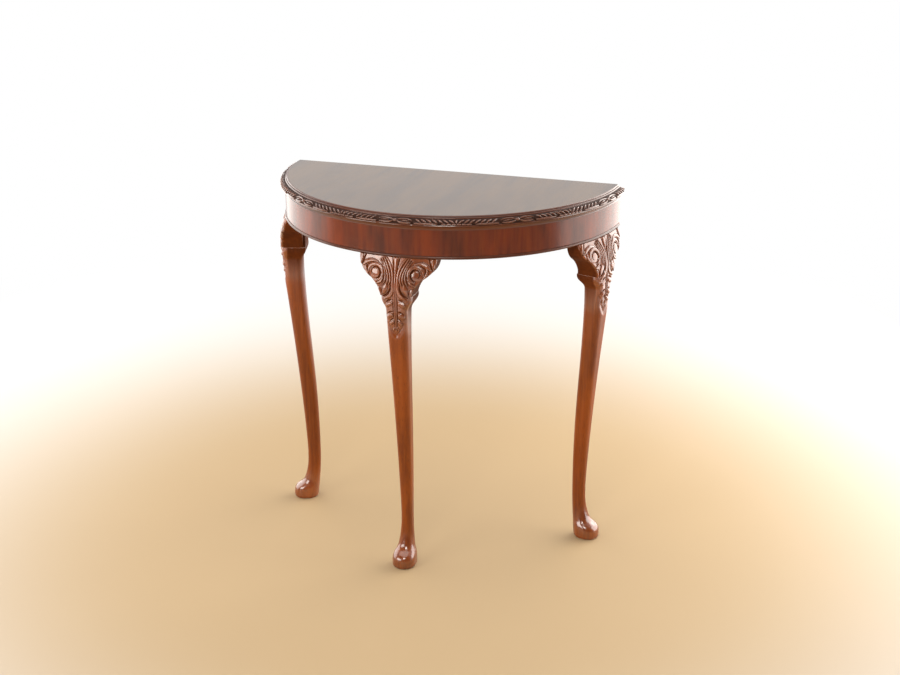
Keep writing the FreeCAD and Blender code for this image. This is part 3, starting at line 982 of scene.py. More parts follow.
@dataclass(frozen=True)
class CabrioleLeg:
    """Cabriole leg and its two ears, in the leg's own frame.

    Reaches are measured outwards from the apron's face and heights from the floor.
    """

    plan: TablePlan
    carving: KneeCarving = field(default_factory=KneeCarving)
    # block of the knee, and the post above it
    block_width: float = 52.0
    block_back: float = -37.0
    block_corner: float = 0.02
    post_front: float = -16.0
    post_headroom: float = 1.0
    shoulder_reach: float = 2.5
    knee_reach: float = 15.5
    knee_drop: float = 75.0
    cove_drop: float = 29.0
    # ears
    ear_reach: float = 76.0
    ear_drop: float = 73.5
    ear_back: float = -33.0
    ear_tip: float = 3.8
    ear_round: float = 42.0
    ear_turn: float = 58.0
    ear_roll: float = 1.3
    ear_steps: tuple[int, int, int] = (68, 9, 8)
    # narrow band that the ears stand on
    lip_height: float = 4.5
    lip_reach: float = 0.3
    lip_gap: float = 0.05
    lip_rise: float = 0.02
    lip_corner: float = 0.42
    ledge_corner: float = 0.06
    # shank and ankle, with the powers that shape their taper
    shank_front: float = 15.2
    shank_back: float = -28.5
    shank_width: float = 42.6
    shank_corner: float = 0.56
    ankle_height: float = 107.0
    ankle_front: float = -23.5
    ankle_back: float = -50.8
    ankle_width: float = 22.4
    front_power: float = 1.3
    back_power: float = 1.2
    width_power: float = 1.1
    # pad foot
    toe_reach: float = 9.3
    heel_back: float = -42.7
    pad_width: float = 47.0
    pad_power: float = 0.8
    round_corner: float = 0.96
    sole_inset: float = 3.5
    foot_rises: tuple[float, ...] = (0.0, 0.075, 0.140, 0.196, 0.243, 0.280, 0.318, 0.374, 0.467,
                                     0.580, 0.730, 1.0)
    foot_spreads: tuple[float, ...] = (1.0, 1.0, 0.99, 0.94, 0.83, 0.68, 0.51, 0.35, 0.22,
                                       0.11, 0.03, 0.0)
    # steps round a section, and starts and steps of the runs of sections up the leg
    front_steps: int = 84
    side_steps: int = 8
    corner_steps: int = 7
    back_steps: int = 10
    quarter_steps: int = 24
    line_steps: int = 40
    sole_rings: int = 9
    pad_run: tuple[float, float] = (9.0, 1.2)
    ankle_run: tuple[float, float] = (62.0, 2.6)
    shank_step: float = 4.0
    carved_run: tuple[float, float] = (486.0, 0.75)
    # painted shade on sawn faces, deepest up under the ledge, a painted highlight on the lip's
    # arris, and where hands and dusters reach most
    sawn_shade: float = 0.74
    shade_run: float = 70.0
    lip_highlight: float = 0.9
    pad_shine: tuple[float, float] = (34.0, 74.0)
    knee_shine: tuple[float, float] = (488.0, 518.0)
    sharp: float = 48.0

    @property
    def shank_top(self) -> float:
        """Height of the top of the shank."""
        return self.plan.shoulder - self.knee_drop - self.cove_drop

    @property
    def lip(self) -> float:
        """Height of the arris on which the ears stand."""
        return self.plan.shoulder - self.ear_drop - self.lip_gap

    def knee_front(self, height: np.ndarray | float) -> np.ndarray | float:
        """Front of the knee on its centre line at a height."""
        drop = np.clip((self.plan.shoulder - height) / self.knee_drop, 0.0, 1.0)
        return blend(self.shoulder_reach, self.knee_reach, 1.0 - (1.0 - drop) ** 2)

    def bow(self, side: np.ndarray) -> np.ndarray:
        """How far the knee's face falls back at a distance from the centre line."""
        radius = self.plan.apron_radius + self.shoulder_reach
        return radius - np.sqrt(radius * radius - side * side)

    def _foot(self, height: float) -> Section:
        """Gives the section of the pad foot.

        Args:
            height: A height below the ankle.

        Returns:
            The section.
        """
        rise = height / self.ankle_height
        spread = through(np.array(self.foot_rises), np.array(self.foot_spreads), np.array([rise]))
        spread = float(np.clip(spread[0], 0.0, 1.0))
        sole = max(0.0, 1.0 - rise / self.foot_rises[1])
        inset = self.sole_inset * (1.0 - math.sqrt(1.0 - sole * sole))
        heel = blend(self.heel_back, self.ankle_back, math.sin(rise * math.pi / 2))
        width = blend(self.ankle_width, self.pad_width, spread ** self.pad_power)
        return Section(heel + inset, blend(self.ankle_front, self.toe_reach, spread) - inset,
                       width - 2 * inset, self.round_corner, self.round_corner, 0.0)

    def _section(self, height: float) -> Section:
        """Gives the section of the leg below the apron.

        Args:
            height: Its height.

        Returns:
            The section.
        """
        if height > self.lip:
            return Section(self.block_back, float(self.knee_front(height)), self.block_width,
                           self.block_corner, self.block_corner, 1.0)
        wide = self.block_width + 2.0 * (self.ear_tip + self.lip_reach)
        lip_foot = self.lip - self.lip_height
        if height >= lip_foot:
            inset = max(0.0, height - self.lip + self.lip_reach)
            return Section(self.block_back + inset, self.knee_reach, wide - 2.0 * inset,
                           self.lip_corner, self.ledge_corner, 1.0)
        if height >= self.shank_top:
            share = (height - self.shank_top) / (lip_foot - self.shank_top)
            # a curve that starts and ends without a kink
            swell = share ** 3 * (10.0 + share * (6.0 * share - 15.0))
            return Section(blend(self.shank_back, self.block_back, swell),
                           blend(self.shank_front, self.knee_reach, math.sin(share * math.pi / 2)),
                           blend(self.shank_width, wide, swell),
                           blend(self.shank_corner, self.lip_corner, share),
                           blend(self.shank_corner, self.ledge_corner, share), share)
        if height >= self.ankle_height:
            share = (height - self.ankle_height) / (self.shank_top - self.ankle_height)
            corner = blend(self.round_corner, self.shank_corner, share)
            swing = ease(0.0, 1.0, share ** self.back_power)
            return Section(blend(self.ankle_back, self.shank_back, swing),
                           blend(self.ankle_front, self.shank_front, share ** self.front_power),
                           blend(self.ankle_width, self.shank_width, share ** self.width_power),
                           corner, corner, 0.0)
        return self._foot(height)

    def _ring(self, height: float) -> tuple[np.ndarray, np.ndarray]:
        """Draws the section at a height, anticlockwise from its front left corner.

        Args:
            height: Height of the section.

        Returns:
            Its points, as reach and side, and how squarely each faces forwards.
        """
        back, front, width, corner, heel_corner, bowed = self._section(height)
        half = width / 2
        most = min(half, (front - back) / 2)
        radius, heel_radius = corner * most, heel_corner * most
        quarter = np.linspace(0.0, math.pi / 2, self.quarter_steps)
        low = np.stack([front - radius + radius * np.sin(quarter),
                        -half + radius - radius * np.cos(quarter)], axis=-1)
        high = low[::-1] * (1.0, -1.0)
        line = np.linspace(low[-1, 1], high[0, 1], self.line_steps)[1:-1]
        dense = np.concatenate([low, np.stack([np.full_like(line, front), line], -1), high])
        facing = np.concatenate([np.sin(quarter), np.ones_like(line), np.sin(quarter)[::-1]])
        dense[:, 0] -= bowed * self.bow(dense[:, 1])
        lengths = run_along(dense)
        even = np.linspace(0.0, lengths[-1], self.front_steps)
        face = np.stack([np.interp(even, lengths, dense[:, k]) for k in range(2)], axis=-1)

        deep = np.linspace(face[-1, 0], back + heel_radius, self.side_steps + 2)[1:-1]
        side = np.stack([deep, np.full(self.side_steps, half)], axis=-1)
        turn = np.linspace(0.0, math.pi / 2, self.corner_steps)
        heel = np.stack([back + heel_radius * (1.0 - np.sin(turn)),
                         half - heel_radius * (1.0 - np.cos(turn))], axis=-1)
        rear_line = np.linspace(heel[-1, 1], -heel[-1, 1], self.back_steps + 2)[1:-1]
        rear = np.stack([np.full(self.back_steps, back), rear_line], axis=-1)
        half_back = np.concatenate([side, heel])
        ring = np.concatenate([face, half_back, rear, half_back[::-1] * (1.0, -1.0)])
        behind = np.zeros(len(ring) - self.front_steps)
        return ring, np.concatenate([np.interp(even, lengths, facing), behind])

    def _heights(self) -> np.ndarray:
        """Lists the heights of the sections, close together where the leg is carved or curves.

        Returns:
            The heights, rising.
        """
        (pad, pad_step), (low, low_step) = self.pad_run, self.ankle_run
        carved, fine = self.carved_run
        return np.unique(np.round(np.concatenate([
            np.linspace(0.0, self.foot_rises[1] * self.ankle_height, self.sole_rings),
            np.arange(pad, low, pad_step),
            np.arange(low, self.ankle_height, low_step),
            np.arange(self.ankle_height, carved, self.shank_step),
            np.arange(carved, self.plan.shoulder, fine),
            [self.lip + self.lip_rise, self.lip, self.lip - self.lip_reach, self.plan.shoulder],
        ]), 4))

    def build_leg(self) -> tuple[np.ndarray, np.ndarray]:
        """Builds the leg from its sole to the top of its post.

        Returns:
            Rings of points as reach, side and height, and the wax, painted shade and painted
            highlight at each point.
        """
        face, heights = self.plan.apron_radius, self._heights()
        front, behind = slice(self.front_steps), slice(self.front_steps, None)
        drawn = [self._ring(float(height)) for height in heights]
        rings = np.array([
            np.column_stack([face + ring[:, 0], ring[:, 1], np.full(len(ring), height)])
            for (ring, _), height in zip(drawn, heights)])
        wax_shade_and_highlight = np.zeros((*rings.shape[:2], 2))
        carved = heights > self.carving.tail - self.carving.fade
        facing = np.array([squarely for _, squarely in drawn])[carved, front]
        knee = rings[carved, front]
        level = self.carving.level(knee[..., 1], knee[..., 2])
        carved_shade_and_highlight = self.carving.wax_shade_and_highlight(knee[..., 1], knee[..., 2], level)
        knee[..., 0] = np.minimum(knee[..., 0] + level * facing, face + self.knee_reach)
        rings[carved, front] = knee
        wax_shade_and_highlight[carved, front] = carved_shade_and_highlight * facing[..., None]
        # painted shade on the sawn sides, darkening up towards the ledge
        sawn = self.sawn_shade * ease(self.shank_top - self.shade_run, self.lip, heights)
        wax_shade_and_highlight[:, behind, 0] = sawn[:, None]
        # painted highlight along the arris of the lip
        wax_shade_and_highlight[(heights > self.lip - self.lip_highlight) & (heights <= self.lip), behind] = (0.0, 1.0)

        half = self.block_width / 2
        post = rings[-1].copy()
        post[front, 0] = face + self.post_front
        post[front, 1] = np.linspace(-half, half, self.front_steps)
        post[behind, 0] = np.clip(post[behind, 0], face + self.block_back, face + self.post_front)
        posts = np.stack([post, post])
        posts[0, :, 2] = self.plan.shoulder
        posts[1, :, 2] = self.plan.panel_underside - self.post_headroom
        return np.concatenate([rings, posts]), np.pad(wax_shade_and_highlight, ((0, 2), (0, 0), (0, 0)))

    def ear_edge(self, drop: np.ndarray) -> np.ndarray:
        """Outline of an ear, as two arcs that run into each other.

        Args:
            drop: Distances below the apron.

        Returns:
            The outline's distance from the leg's centre line at each drop.
        """
        tip = self.block_width / 2 + self.ear_tip
        turn = math.radians(self.ear_turn)
        upper_drop = self.ear_round * math.sin(turn)
        lower_width = self.ear_reach - tip - self.ear_round * (1.0 - math.cos(turn))
        lower_drop = self.ear_drop - upper_drop
        end = 2.0 * math.atan2(lower_width, lower_drop) - turn
        lower_round = lower_drop / (math.sin(turn) - math.sin(end))
        upper = np.arcsin(np.clip(drop / self.ear_round, 0.0, 1.0))
        rise = math.sin(end) + (self.ear_drop - drop) / lower_round
        lower = np.arcsin(np.clip(rise, -1.0, 1.0))
        return np.where(drop <= upper_drop,
                        self.ear_reach - self.ear_round * (1.0 - np.cos(upper)),
                        tip + lower_round * (math.cos(end) - np.cos(lower)))

    def build_ear(self, hand: Hand) -> tuple[np.ndarray, np.ndarray]:
        """Builds the ear on one side of the leg.

        Args:
            hand: Which side of the leg's centre line it lies on.

        Returns:
            Rings of points as reach, side and height, and the wax, painted shade and painted
            highlight at each point.
        """
        face_steps, edge_steps, back_steps = self.ear_steps
        inner, shoulder = self.block_width / 2, self.plan.shoulder
        levels = int(self.ear_drop / self.carved_run[1])
        heights = np.linspace(shoulder - self.ear_drop, shoulder, levels)
        outers = self.ear_edge(shoulder - heights)
        spread = np.linspace(inner, outers, face_steps).T
        tall = np.repeat(heights[:, None], face_steps, axis=1)
        carved = self.carving.level(spread, tall)
        carved_shade_and_highlight = self.carving.wax_shade_and_highlight(spread, tall, carved)
        rings, wax_shade_and_highlight = [], []
        for height, outer, across, level, face in zip(heights, outers, spread, carved, carved_shade_and_highlight):
            lip = np.clip(1.0 - (outer - across) / self.carving.edge_round, 0.0, 1.0)
            reach = self.knee_front(height) - self.bow(across) + level - self.ear_roll * lip ** 2
            sawn = np.linspace(reach[-1], self.ear_back, edge_steps + 1)[1:]
            rear = np.linspace(outer, inner, back_steps + 1)[1:]
            joint = np.linspace(self.ear_back, reach[0], edge_steps + 1)[1:-1]
            out = np.concatenate([reach, sawn, np.full(back_steps, self.ear_back), joint])
            side = np.concatenate([across, np.full(edge_steps, outer), rear,
                                   np.full(edge_steps - 1, inner)])
            rings.append(np.column_stack([self.plan.apron_radius + out, hand.value * side,
                                          np.full(len(out), height)]))
            # the ear's sawn edge and back take painted shade
            plain = np.tile((self.sawn_shade, 0.0), (len(out) - face_steps, 1))
            wax_shade_and_highlight.append(np.concatenate([face, plain]))
        return np.array(rings)[:, ::hand.value], np.array(wax_shade_and_highlight)[:, ::hand.value]

    def piece(self, name: str, turn: float, rings: np.ndarray,
              wax_shade_and_highlight: np.ndarray) -> bpy.types.Object:
        """Turns rings in the leg's frame into a piece of the table.

        Args:
            name: Name of the piece.
            turn: Direction of the leg in degrees.
            rings: Rings of points as reach, side and height.
            wax_shade_and_highlight: The recess, for wax and painted shade, and the crest, for a
                painted highlight, at each point.

        Returns:
            The new object, with its grain running up the leg.
        """
        out, side, tall = rings.reshape(-1, 3).T
        points = self.plan.place(turn, out, side, tall)
        piece = new_piece(name, points, stacked_faces(*rings.shape[:2]), self.sharp)
        keep_values(piece, GRAIN, points[:, [2, 0, 1]])
        keep_values(piece, RECESS, wax_shade_and_highlight[..., 0].ravel())
        keep_values(piece, CREST, wax_shade_and_highlight[..., 1].ravel())
        touch = 1.0 - ease(*self.pad_shine, tall) + ease(*self.knee_shine, tall)
        keep_values(piece, TOUCH, touch)
        return piece


@dataclass(frozen=True)
class LegSet:
    """The three legs with their ears."""

    plan: TablePlan
    side_angle: float = 16.5

    def turns(self) -> dict[str, float]:
        """Gives the direction of each leg by its node's name."""
        side = self.side_angle
        return {"left_leg": 180.0 + side, "front_leg": -90.0, "right_leg": -side}

    @staticmethod
    def ear_nodes(leg: str) -> dict[Hand, str]:
        """Names a leg's ear nodes.

        Args:
            leg: Name of the leg's node.

        Returns:
            The names by the side of the leg that the ears lie on.
        """
        sides = {"left_leg": ("rear", "front"), "front_leg": ("left", "right"),
                 "right_leg": ("front", "rear")}[leg]
        return {hand: f"{leg}_{side}_ear" for hand, side in zip(Hand, sides)}

    def build(self) -> None:
        """Builds and dresses every leg and ear."""
        pattern = CabrioleLeg(self.plan)
        finish = LEG_FINISH.material()
        leg = pattern.build_leg()
        ears = {hand: pattern.build_ear(hand) for hand in Hand}
        for node, turn in self.turns().items():
            settle(pattern.piece(f"carved_{node}", turn, *leg), finish, Slot.LEG, node)
            for hand, name in self.ear_nodes(node).items():
                ear = pattern.piece(f"carved_{name}", turn, *ears[hand])
                settle(ear, finish, Slot.LEG, name)


@dataclass(frozen=True)
class BandCarving:
    """Carving of the edge: crossed leaves and ribbed fans by turns, along it and down its round.

    The period is in degrees, from the middle of one pair of leaves to the middle of the next.
    """

    period: float = 37.4
    depth: float = 19.4
    ground: float = -2.9
    # notch between leaves and fan, from the middle of the leaves, and a half fan's ribs
    notch: float = 34.5
    rib_pitch: float = 10.4
    ribs: int = 7
    # distances over which the carving sets in at the top and runs out at the bottom
    top_fade: tuple[float, float] = (-0.6, 2.2)
    foot_fade: float = 1.9
    # wax and painted shade: depth below the neighbours for the full amount, and depths below the
    # face between which painted shade sets in and is full
    mark_depth: float = 0.7
    dark: tuple[float, float] = (1.0, 3.0)

    def strokes(self, half: float) -> tuple[Stroke, ...]:
        """Lists the strokes from the middle of the leaves to the middle of a fan.

        Args:
            half: Length of half a period.

        Returns:
            The strokes, placed by distance along the edge and down the round.
        """
        notch = self.notch
        feet = [half - 4.0 - step * self.rib_pitch for step in range(self.ribs)]
        beads = (half - 4.5, half - 14.0, half - 23.5)
        return (
            # ribs of the fan, with beads along their feet
            Stroke(((half, 3.6), (half, 8.0), (half, 12.5)), (1.3, 2.3, 1.0), 2.7, steps=8),
            *(Stroke(((foot, 12.6), (foot - 4.4, 8.2), (foot - 10.0, 3.2)), (1.0, 2.2, 1.3), 2.7,
                     steps=9) for foot in feet),
            *(Stroke(((foot - 2.6, 15.2), (foot + 2.6, 15.2)), (2.1, 2.1), 2.9, steps=3)
              for foot in beads),
            # rolled lower edge beside the notch
            Stroke(((notch + 3.0, 14.8), (notch + 16.0, 15.0), (notch + 32.0, 15.1),
                    (notch + 45.0, 15.1)), (1.6, 2.7, 2.7, 1.3), 3.2, steps=18),
            # crossed leaves with a boss in the middle
            Stroke(((-0.4, 9.0), (0.4, 9.0)), (3.9, 3.9), 2.9, steps=2),
            Stroke(((4.2, 7.4), (11.0, 4.9), (23.0, 4.4), (32.5, 7.6)), (1.1, 2.3, 2.1, 0.8), 2.7,
                   steps=16),
            Stroke(((4.2, 10.8), (11.0, 14.2), (21.0, 15.0), (30.5, 14.2)), (1.1, 2.5, 2.6, 1.0),
                   3.1, steps=16),
            Stroke(((11.5, 9.3), (19.5, 9.6), (28.0, 10.6)), (0.8, 1.9, 0.8), 2.4, steps=10),
            Stroke(((notch, 18.4), (notch, 15.0), (notch, 11.6)), (3.0, 2.2, 0.7), 2.6, Cut.GROOVE,
                   steps=8),
        )

    def level(self, along: np.ndarray, down: np.ndarray, length: float) -> np.ndarray:
        """Gives the carved level of the running pattern.

        Args:
            along: Distance along the edge from the middle of a pair of leaves.
            down: Distance down the round.
            length: Length of a whole period.

        Returns:
            How far each point stands out from the frame's face.
        """
        half = length / 2.0
        folded = np.abs((along + half) % length - half)
        level = carve(self.strokes(half), np.full_like(folded, self.ground), folded, down)
        return level * ease(*self.top_fade, down) * ease(0.0, self.foot_fade, self.depth - down)

    def wax_shade_and_highlight(self, along: np.ndarray, down: np.ndarray, length: float,
             level: np.ndarray) -> tuple[np.ndarray, np.ndarray]:
        """Gives how much wax and painted shade, and how much painted highlight, each point takes.

        Args:
            along: Distance along the edge from the middle of a pair of leaves.
            down: Distance down the round.
            length: Length of a whole period.
            level: The carved level there.

        Returns:
            The recess and the crest at each point, from 0 to 1.
        """
        beside = around(lambda x, y: self.level(x, y, length), along, down)
        sunk = (beside - level) / self.mark_depth
        # painted shade deepens as the carving sinks below the face
        start, full = self.dark
        low = np.clip((-level - start) / (full - start), 0.0, 1.0)
        recess = np.clip(np.clip(sunk, 0.0, 1.0) + low, 0.0, 1.0)
        return recess, np.clip(-sunk, 0.0, 1.0) * (1.0 - recess)


def edge_tree(weld: float = 0.00002) -> bpy.types.NodeTree:
    """Builds the tree that turns one carved unit into a run of them round the table's axis.

    Args:
        weld: Distance in metres within which the ends of two units become one.

    Returns:
        The geometry node tree, with named inputs for its sizes.
    """
    tree = new_tree("edge_run", "Geometry",
                    {"Unit": "Geometry", "Units": "Int", "Pitch": "Float", "First": "Float",
                     "Axis": "Vector", "Material": "Material"}, {"Run": "Geometry"})
    sheet = NodeSheet(tree)
    given = sheet.add("NodeGroupInput").outputs
    line = sheet.add("GeometryNodeMeshLine", {"Count": given["Units"], "Offset": (0.0, 0.0, 0.0)})
    index = sheet.add("GeometryNodeInputIndex")
    turn = sheet.maths("MULTIPLY_ADD", index.outputs[0], given["Pitch"], given["First"])
    rotation = sheet.add("ShaderNodeCombineXYZ", {"Z": turn})
    placed = sheet.add("GeometryNodeInstanceOnPoints", {
        "Points": line.outputs[0], "Instance": given["Unit"], "Rotation": rotation.outputs[0]})
    real = sheet.add("GeometryNodeRealizeInstances", {0: placed.outputs[0]})
    joined = sheet.add("GeometryNodeMergeByDistance", {
        "Geometry": real.outputs[0], "Distance": weld})
    moved = sheet.add("GeometryNodeTransform", {
        "Geometry": joined.outputs[0], "Translation": given["Axis"]})
    dressed = sheet.add("GeometryNodeSetMaterial", {
        "Geometry": moved.outputs[0], "Material": given["Material"]})
    sheet.add("NodeGroupOutput", {0: dressed.outputs[0]})
    return tree


@dataclass(frozen=True)
class EdgeMoulding:
    """Bent edge of the top: lip, small round, carved round and cove."""

    plan: TablePlan
    carving: BandCarving = field(default_factory=BandCarving)
    lip_width: float = 3.0
    lip_drop: float = 1.6
    round_width: float = 2.2
    round_drop: float = 1.9
    # shares of their width and drop at which the arcs of lip, small round and cove are halfway
    lip_middle: tuple[float, float] = (0.58, 0.25)
    round_middle: tuple[float, float] = (0.72, 0.32)
    cove_middle: float = 0.35
    arc_steps: tuple[int, int, int] = (8, 10, 12)
    quirk: float = 0.8
    band_height: float = 12.0
    band_undercut: float = 1.8
    fillet: float = 1.2
    underside: float = 26.5
    seat: float = 23.0
    # set-back of the plain moulding and of the carving's own back, in depths of the ground
    set_back: float = 1.2
    hidden_back: float = 2.2
    # painted shade on the small round and in the cove, and how far the ends stay off the panel's
    # and the carving's ends
    round_shade: float = 0.35
    cove_shade: float = 0.30
    end_inset: float = 0.2
    # units of carving, steps round the half circle, and steps along and down one unit
    units: int = 6
    sweep_steps: int = 220
    along_steps: int = 280
    down_steps: int = 28
    # degrees from which an edge stays crisp, on what is swept and on the carving
    sharp: float = 30.0
    carved_sharp: float = 55.0

    @staticmethod
    def arc(start: tuple[float, float], middle: tuple[float, float], end: tuple[float, float],
            steps: int) -> np.ndarray:
        """Draws an arc through three points of the section.

        Args:
            start: First point, as reach beyond the field and drop below it.
            middle: A point on the way.
            end: Last point.
            steps: How many steps the arc has.

        Returns:
            Points along the arc.
        """
        first, second, third = (np.array(one, float) for one in (start, middle, end))
        rows = 2.0 * np.array([second - first, third - first])
        square = first @ first
        centre = np.linalg.solve(rows, [second @ second - square, third @ third - square])
        radius = np.linalg.norm(first - centre)
        angles = [math.atan2(*(one - centre)[::-1]) for one in (first, second, third)]
        angles = np.unwrap(angles)
        turn = np.linspace(angles[0], angles[2], steps + 1)
        return centre + radius * np.stack([np.cos(turn), np.sin(turn)], axis=-1)

    def band(self, steps: int) -> np.ndarray:
        """Draws the carved round's own section.

        Args:
            steps: How many steps it has.

        Returns:
            Its points from top to bottom, as reach beyond the field and drop below it.
        """
        top = self.lip_drop + self.round_drop + 2.0 * self.quirk
        bottom = top + self.band_height
        reach = self.plan.edge_reach
        return self.arc((self.lip_width + self.quirk + self.round_width, top),
                        (reach, (top + bottom) / 2), (reach - self.band_undercut, bottom), steps)

    def section(self) -> tuple[np.ndarray, np.ndarray]:
        """Draws the section of the plain moulding, with its band set back behind the carving.

        Returns:
            The section's points, and how much dark wax each of them holds.
        """
        step = self.plan.apron_step
        lip = (self.lip_width, self.lip_drop)
        first = (self.lip_width + self.quirk, self.lip_drop + self.quirk)
        last = (first[0] + self.round_width, first[1] + self.round_drop)
        across, down = self.lip_middle
        lip_mid = (across * lip[0], down * lip[1])
        across, down = self.round_middle
        round_mid = (first[0] + across * self.round_width, first[1] + down * self.round_drop)
        small_steps, band_steps, cove_steps = self.arc_steps
        band = self.band(band_steps)
        foot, low = band[-1]
        cove_start, cove_end = (foot - self.fillet, low), (step + self.quirk, self.underside)
        cove_mid = (blend(cove_end[0], cove_start[0], self.cove_middle),
                    blend(low, self.underside, self.cove_middle))
        band[1:-1, 0] += self.set_back * self.carving.ground
        # the quirk and the band set back behind the carving take full painted shade, the small
        # round and the cove some
        parts = [
            (self.arc((0.0, 0.0), lip_mid, lip, small_steps), self.round_shade),
            ([(lip[0], first[1])], 1.0),
            (self.arc(first, round_mid, last, small_steps), self.round_shade),
            (band, 1.0),
            (self.arc(cove_start, cove_mid, cove_end, cove_steps), self.cove_shade),
            ([(step, self.underside), (step, self.seat), (0.0, self.seat)], 0.0),
        ]
        points = [np.array(part, float).reshape(-1, 2) for part, _ in parts]
        wax = [np.full(len(part), wax) for part, (_, wax) in zip(points, parts)]
        return np.concatenate(points), np.concatenate(wax)

    def sweep(self, name: str, section: np.ndarray, wax: np.ndarray | None = None,
              inset: float = 0.0) -> bpy.types.Object:
        """Sweeps a section round the half circle, with both ends parallel to the table's back.

        Args:
            name: Name of the piece.
            section: Points as reach beyond the field and drop below it, clockwise in that view.
            wax: How much wax and painted shade each point of the section holds, apart from the
                clean ends.
            inset: How far short of the table's back its ends stop.

        Returns:
            The new object.
        """
        run = run_along(section)
        radius = self.plan.field_radius + section[:, 0]
        angle = np.array([self.plan.half_turn(one, self.sweep_steps, inset) for one in radius]).T
        level = np.zeros_like(angle)
        points = np.stack([radius * np.cos(angle), self.plan.axis_y + radius * np.sin(angle),
                           level + self.plan.height - section[:, 1]], axis=-1)
        piece = new_piece(name, points * MM, stacked_faces(*angle.shape), self.sharp)
        grain = np.stack([self.plan.apron_radius * angle, level + run, level + section[:, 1]],
                         axis=-1)
        keep_values(piece, GRAIN, grain * MM)
        if wax is not None:
            held = np.tile(wax, (self.sweep_steps + 1, 1))
            held[[0, -1]] = 0.0
            keep_values(piece, RECESS, held.ravel())
        return piece

    def _unit(self) -> bpy.types.Object:
        """Builds one period of the carving about the origin, open at both ends.

        Returns:
            An object that holds the unit, starting in the middle of a pair of leaves.
        """
        section = self.band(self.down_steps)
        normal = np.gradient(section, axis=0)
        normal = np.stack([normal[:, 1], -normal[:, 0]], axis=-1)
        normal /= np.linalg.norm(normal, axis=1)[:, None]
        period = math.radians(self.carving.period)
        length = period * (self.plan.field_radius + self.plan.edge_reach)
        along, down = np.meshgrid(
            np.linspace(0.0, length, self.along_steps + 1),
            np.linspace(0.0, self.carving.depth, self.down_steps + 1), indexing="ij")
        level = self.carving.level(along, down, length)
        hidden = section[::-1][1:-1] + (self.hidden_back * self.carving.ground, 0.0)
        rings = []
        for row, turn in enumerate(np.linspace(0.0, period, self.along_steps + 1)):
            loop = np.concatenate([section + normal * level[row][:, None], hidden])
            radius = self.plan.field_radius + loop[:, 0]
            rings.append(np.stack([radius * math.cos(turn), radius * math.sin(turn),
                                   self.plan.height - loop[:, 1]], axis=-1) * MM)
        faces = stacked_faces(len(rings), len(rings[0]))[:-2]
        unit = new_piece("edge_unit", np.concatenate(rings), faces)
        for name, values in zip((RECESS, CREST), self.carving.wax_shade_and_highlight(along, down, length, level)):
            keep_values(unit, name, np.pad(values, ((0, 0), (0, len(hidden)))).ravel())
        return unit

    def _run(self, finish: bpy.types.Material) -> bpy.types.Object:
        """Runs the carved units round the edge and trims them just short of the table's back.

        Args:
            finish: Material of the carving.

        Returns:
            The carving as one piece.
        """
        unit = self._unit()
        period = math.radians(self.carving.period)
        axis_y = self.plan.axis_y * MM
        mesh = evaluated(unit, edge_tree(), {
            "Units": self.units,
            "Pitch": period,
            "First": -math.pi / 2 - period * self.units / 2,
            "Axis": (0.0, axis_y, 0.0),
            "Material": finish,
        })
        bpy.data.objects.remove(unit)
        end = (0.0, (self.plan.back_y - 2.0 * self.end_inset) * MM, 0.0)
        built = bmesh.new()
        built.from_mesh(mesh)
        bmesh.ops.bisect_plane(built, geom=[*built.verts, *built.edges, *built.faces], dist=1e-7,
                               plane_co=end, plane_no=(0.0, 1.0, 0.0), clear_outer=True)
        bmesh.ops.holes_fill(built, edges=[edge for edge in built.edges if edge.is_boundary])
        bmesh.ops.recalc_face_normals(built, faces=built.faces)
        built.to_mesh(mesh)
        built.free()
        smooth(mesh, self.carved_sharp)
        run = link("edge_carving", mesh)
        spots = np.empty(len(mesh.vertices) * 3)
        mesh.vertices.foreach_get("co", spots)
        x, y, z = spots.reshape(-1, 3).T
        angle = np.arctan2(y - axis_y, x)
        length = self.plan.apron_radius * MM * angle
        keep_values(run, GRAIN, np.stack([length, z, np.zeros_like(z)], axis=-1))
        return run

    def build(self) -> None:
        """Builds the plain moulding and its carving, and dresses them."""
        finish = EDGE_FINISH.material()
        moulding = self.sweep("edge_moulding_plain", *self.section(), inset=self.end_inset)
        settle(moulding, finish, Slot.EDGE, "edge_moulding")
        settle(self._run(finish), finish, Slot.EDGE, "edge_moulding")


@dataclass(frozen=True)
class Apron:
    """Veneer and bead of the curved apron."""

    plan: TablePlan
    edge: EdgeMoulding
    veneer: float = 1.0
    bead_height: float = 6.0
    bead_reach: float = 2.5
    bead_seat: float = 4.0
    bead_steps: int = 12
    bead_shade: float = 0.44

    def build(self) -> None:
        """Builds the veneer and the bead, and dresses them."""
        face, top = self.plan.apron_step, self.plan.panel_depth
        low = self.plan.height - self.plan.shoulder
        bead_top = low - self.bead_height
        back = face - self.veneer
        sheet = np.array([(face, top), (face, bead_top), (back, bead_top), (back, top)])
        skin = self.edge.sweep("apron_veneer_sheet", sheet)
        grain = skin.data.attributes[GRAIN]
        spots = np.empty(len(grain.data) * 3, np.float32)
        grain.data.foreach_get("vector", spots)
        # the grain of the veneer runs up the apron, and is the same through its thickness
        crossed = spots.reshape(-1, 3)[:, [2, 0, 1]] * np.array((1.0, 1.0, 0.0), np.float32)
        grain.data.foreach_set("vector", crossed.ravel())
        settle(skin, FRIEZE_FINISH.material(), Slot.FRIEZE, "apron_veneer")

        half_round = self.edge.arc((face, bead_top),
                                   (face + self.bead_reach, bead_top + self.bead_height / 2),
                                   (face, low), self.bead_steps)
        seat = back - self.bead_seat
        section = np.concatenate([half_round, [(seat, low), (seat, bead_top)]])
        # painted shade darkens the bead
        wax = np.full(len(section), self.bead_shade)
        # the corner above the bead takes a full painted shadow
        wax[0] = 1.0
        bead = self.edge.sweep("apron_bead_strip", section, wax)
        settle(bead, EDGE_FINISH.material(), Slot.EDGE, "apron_bead")


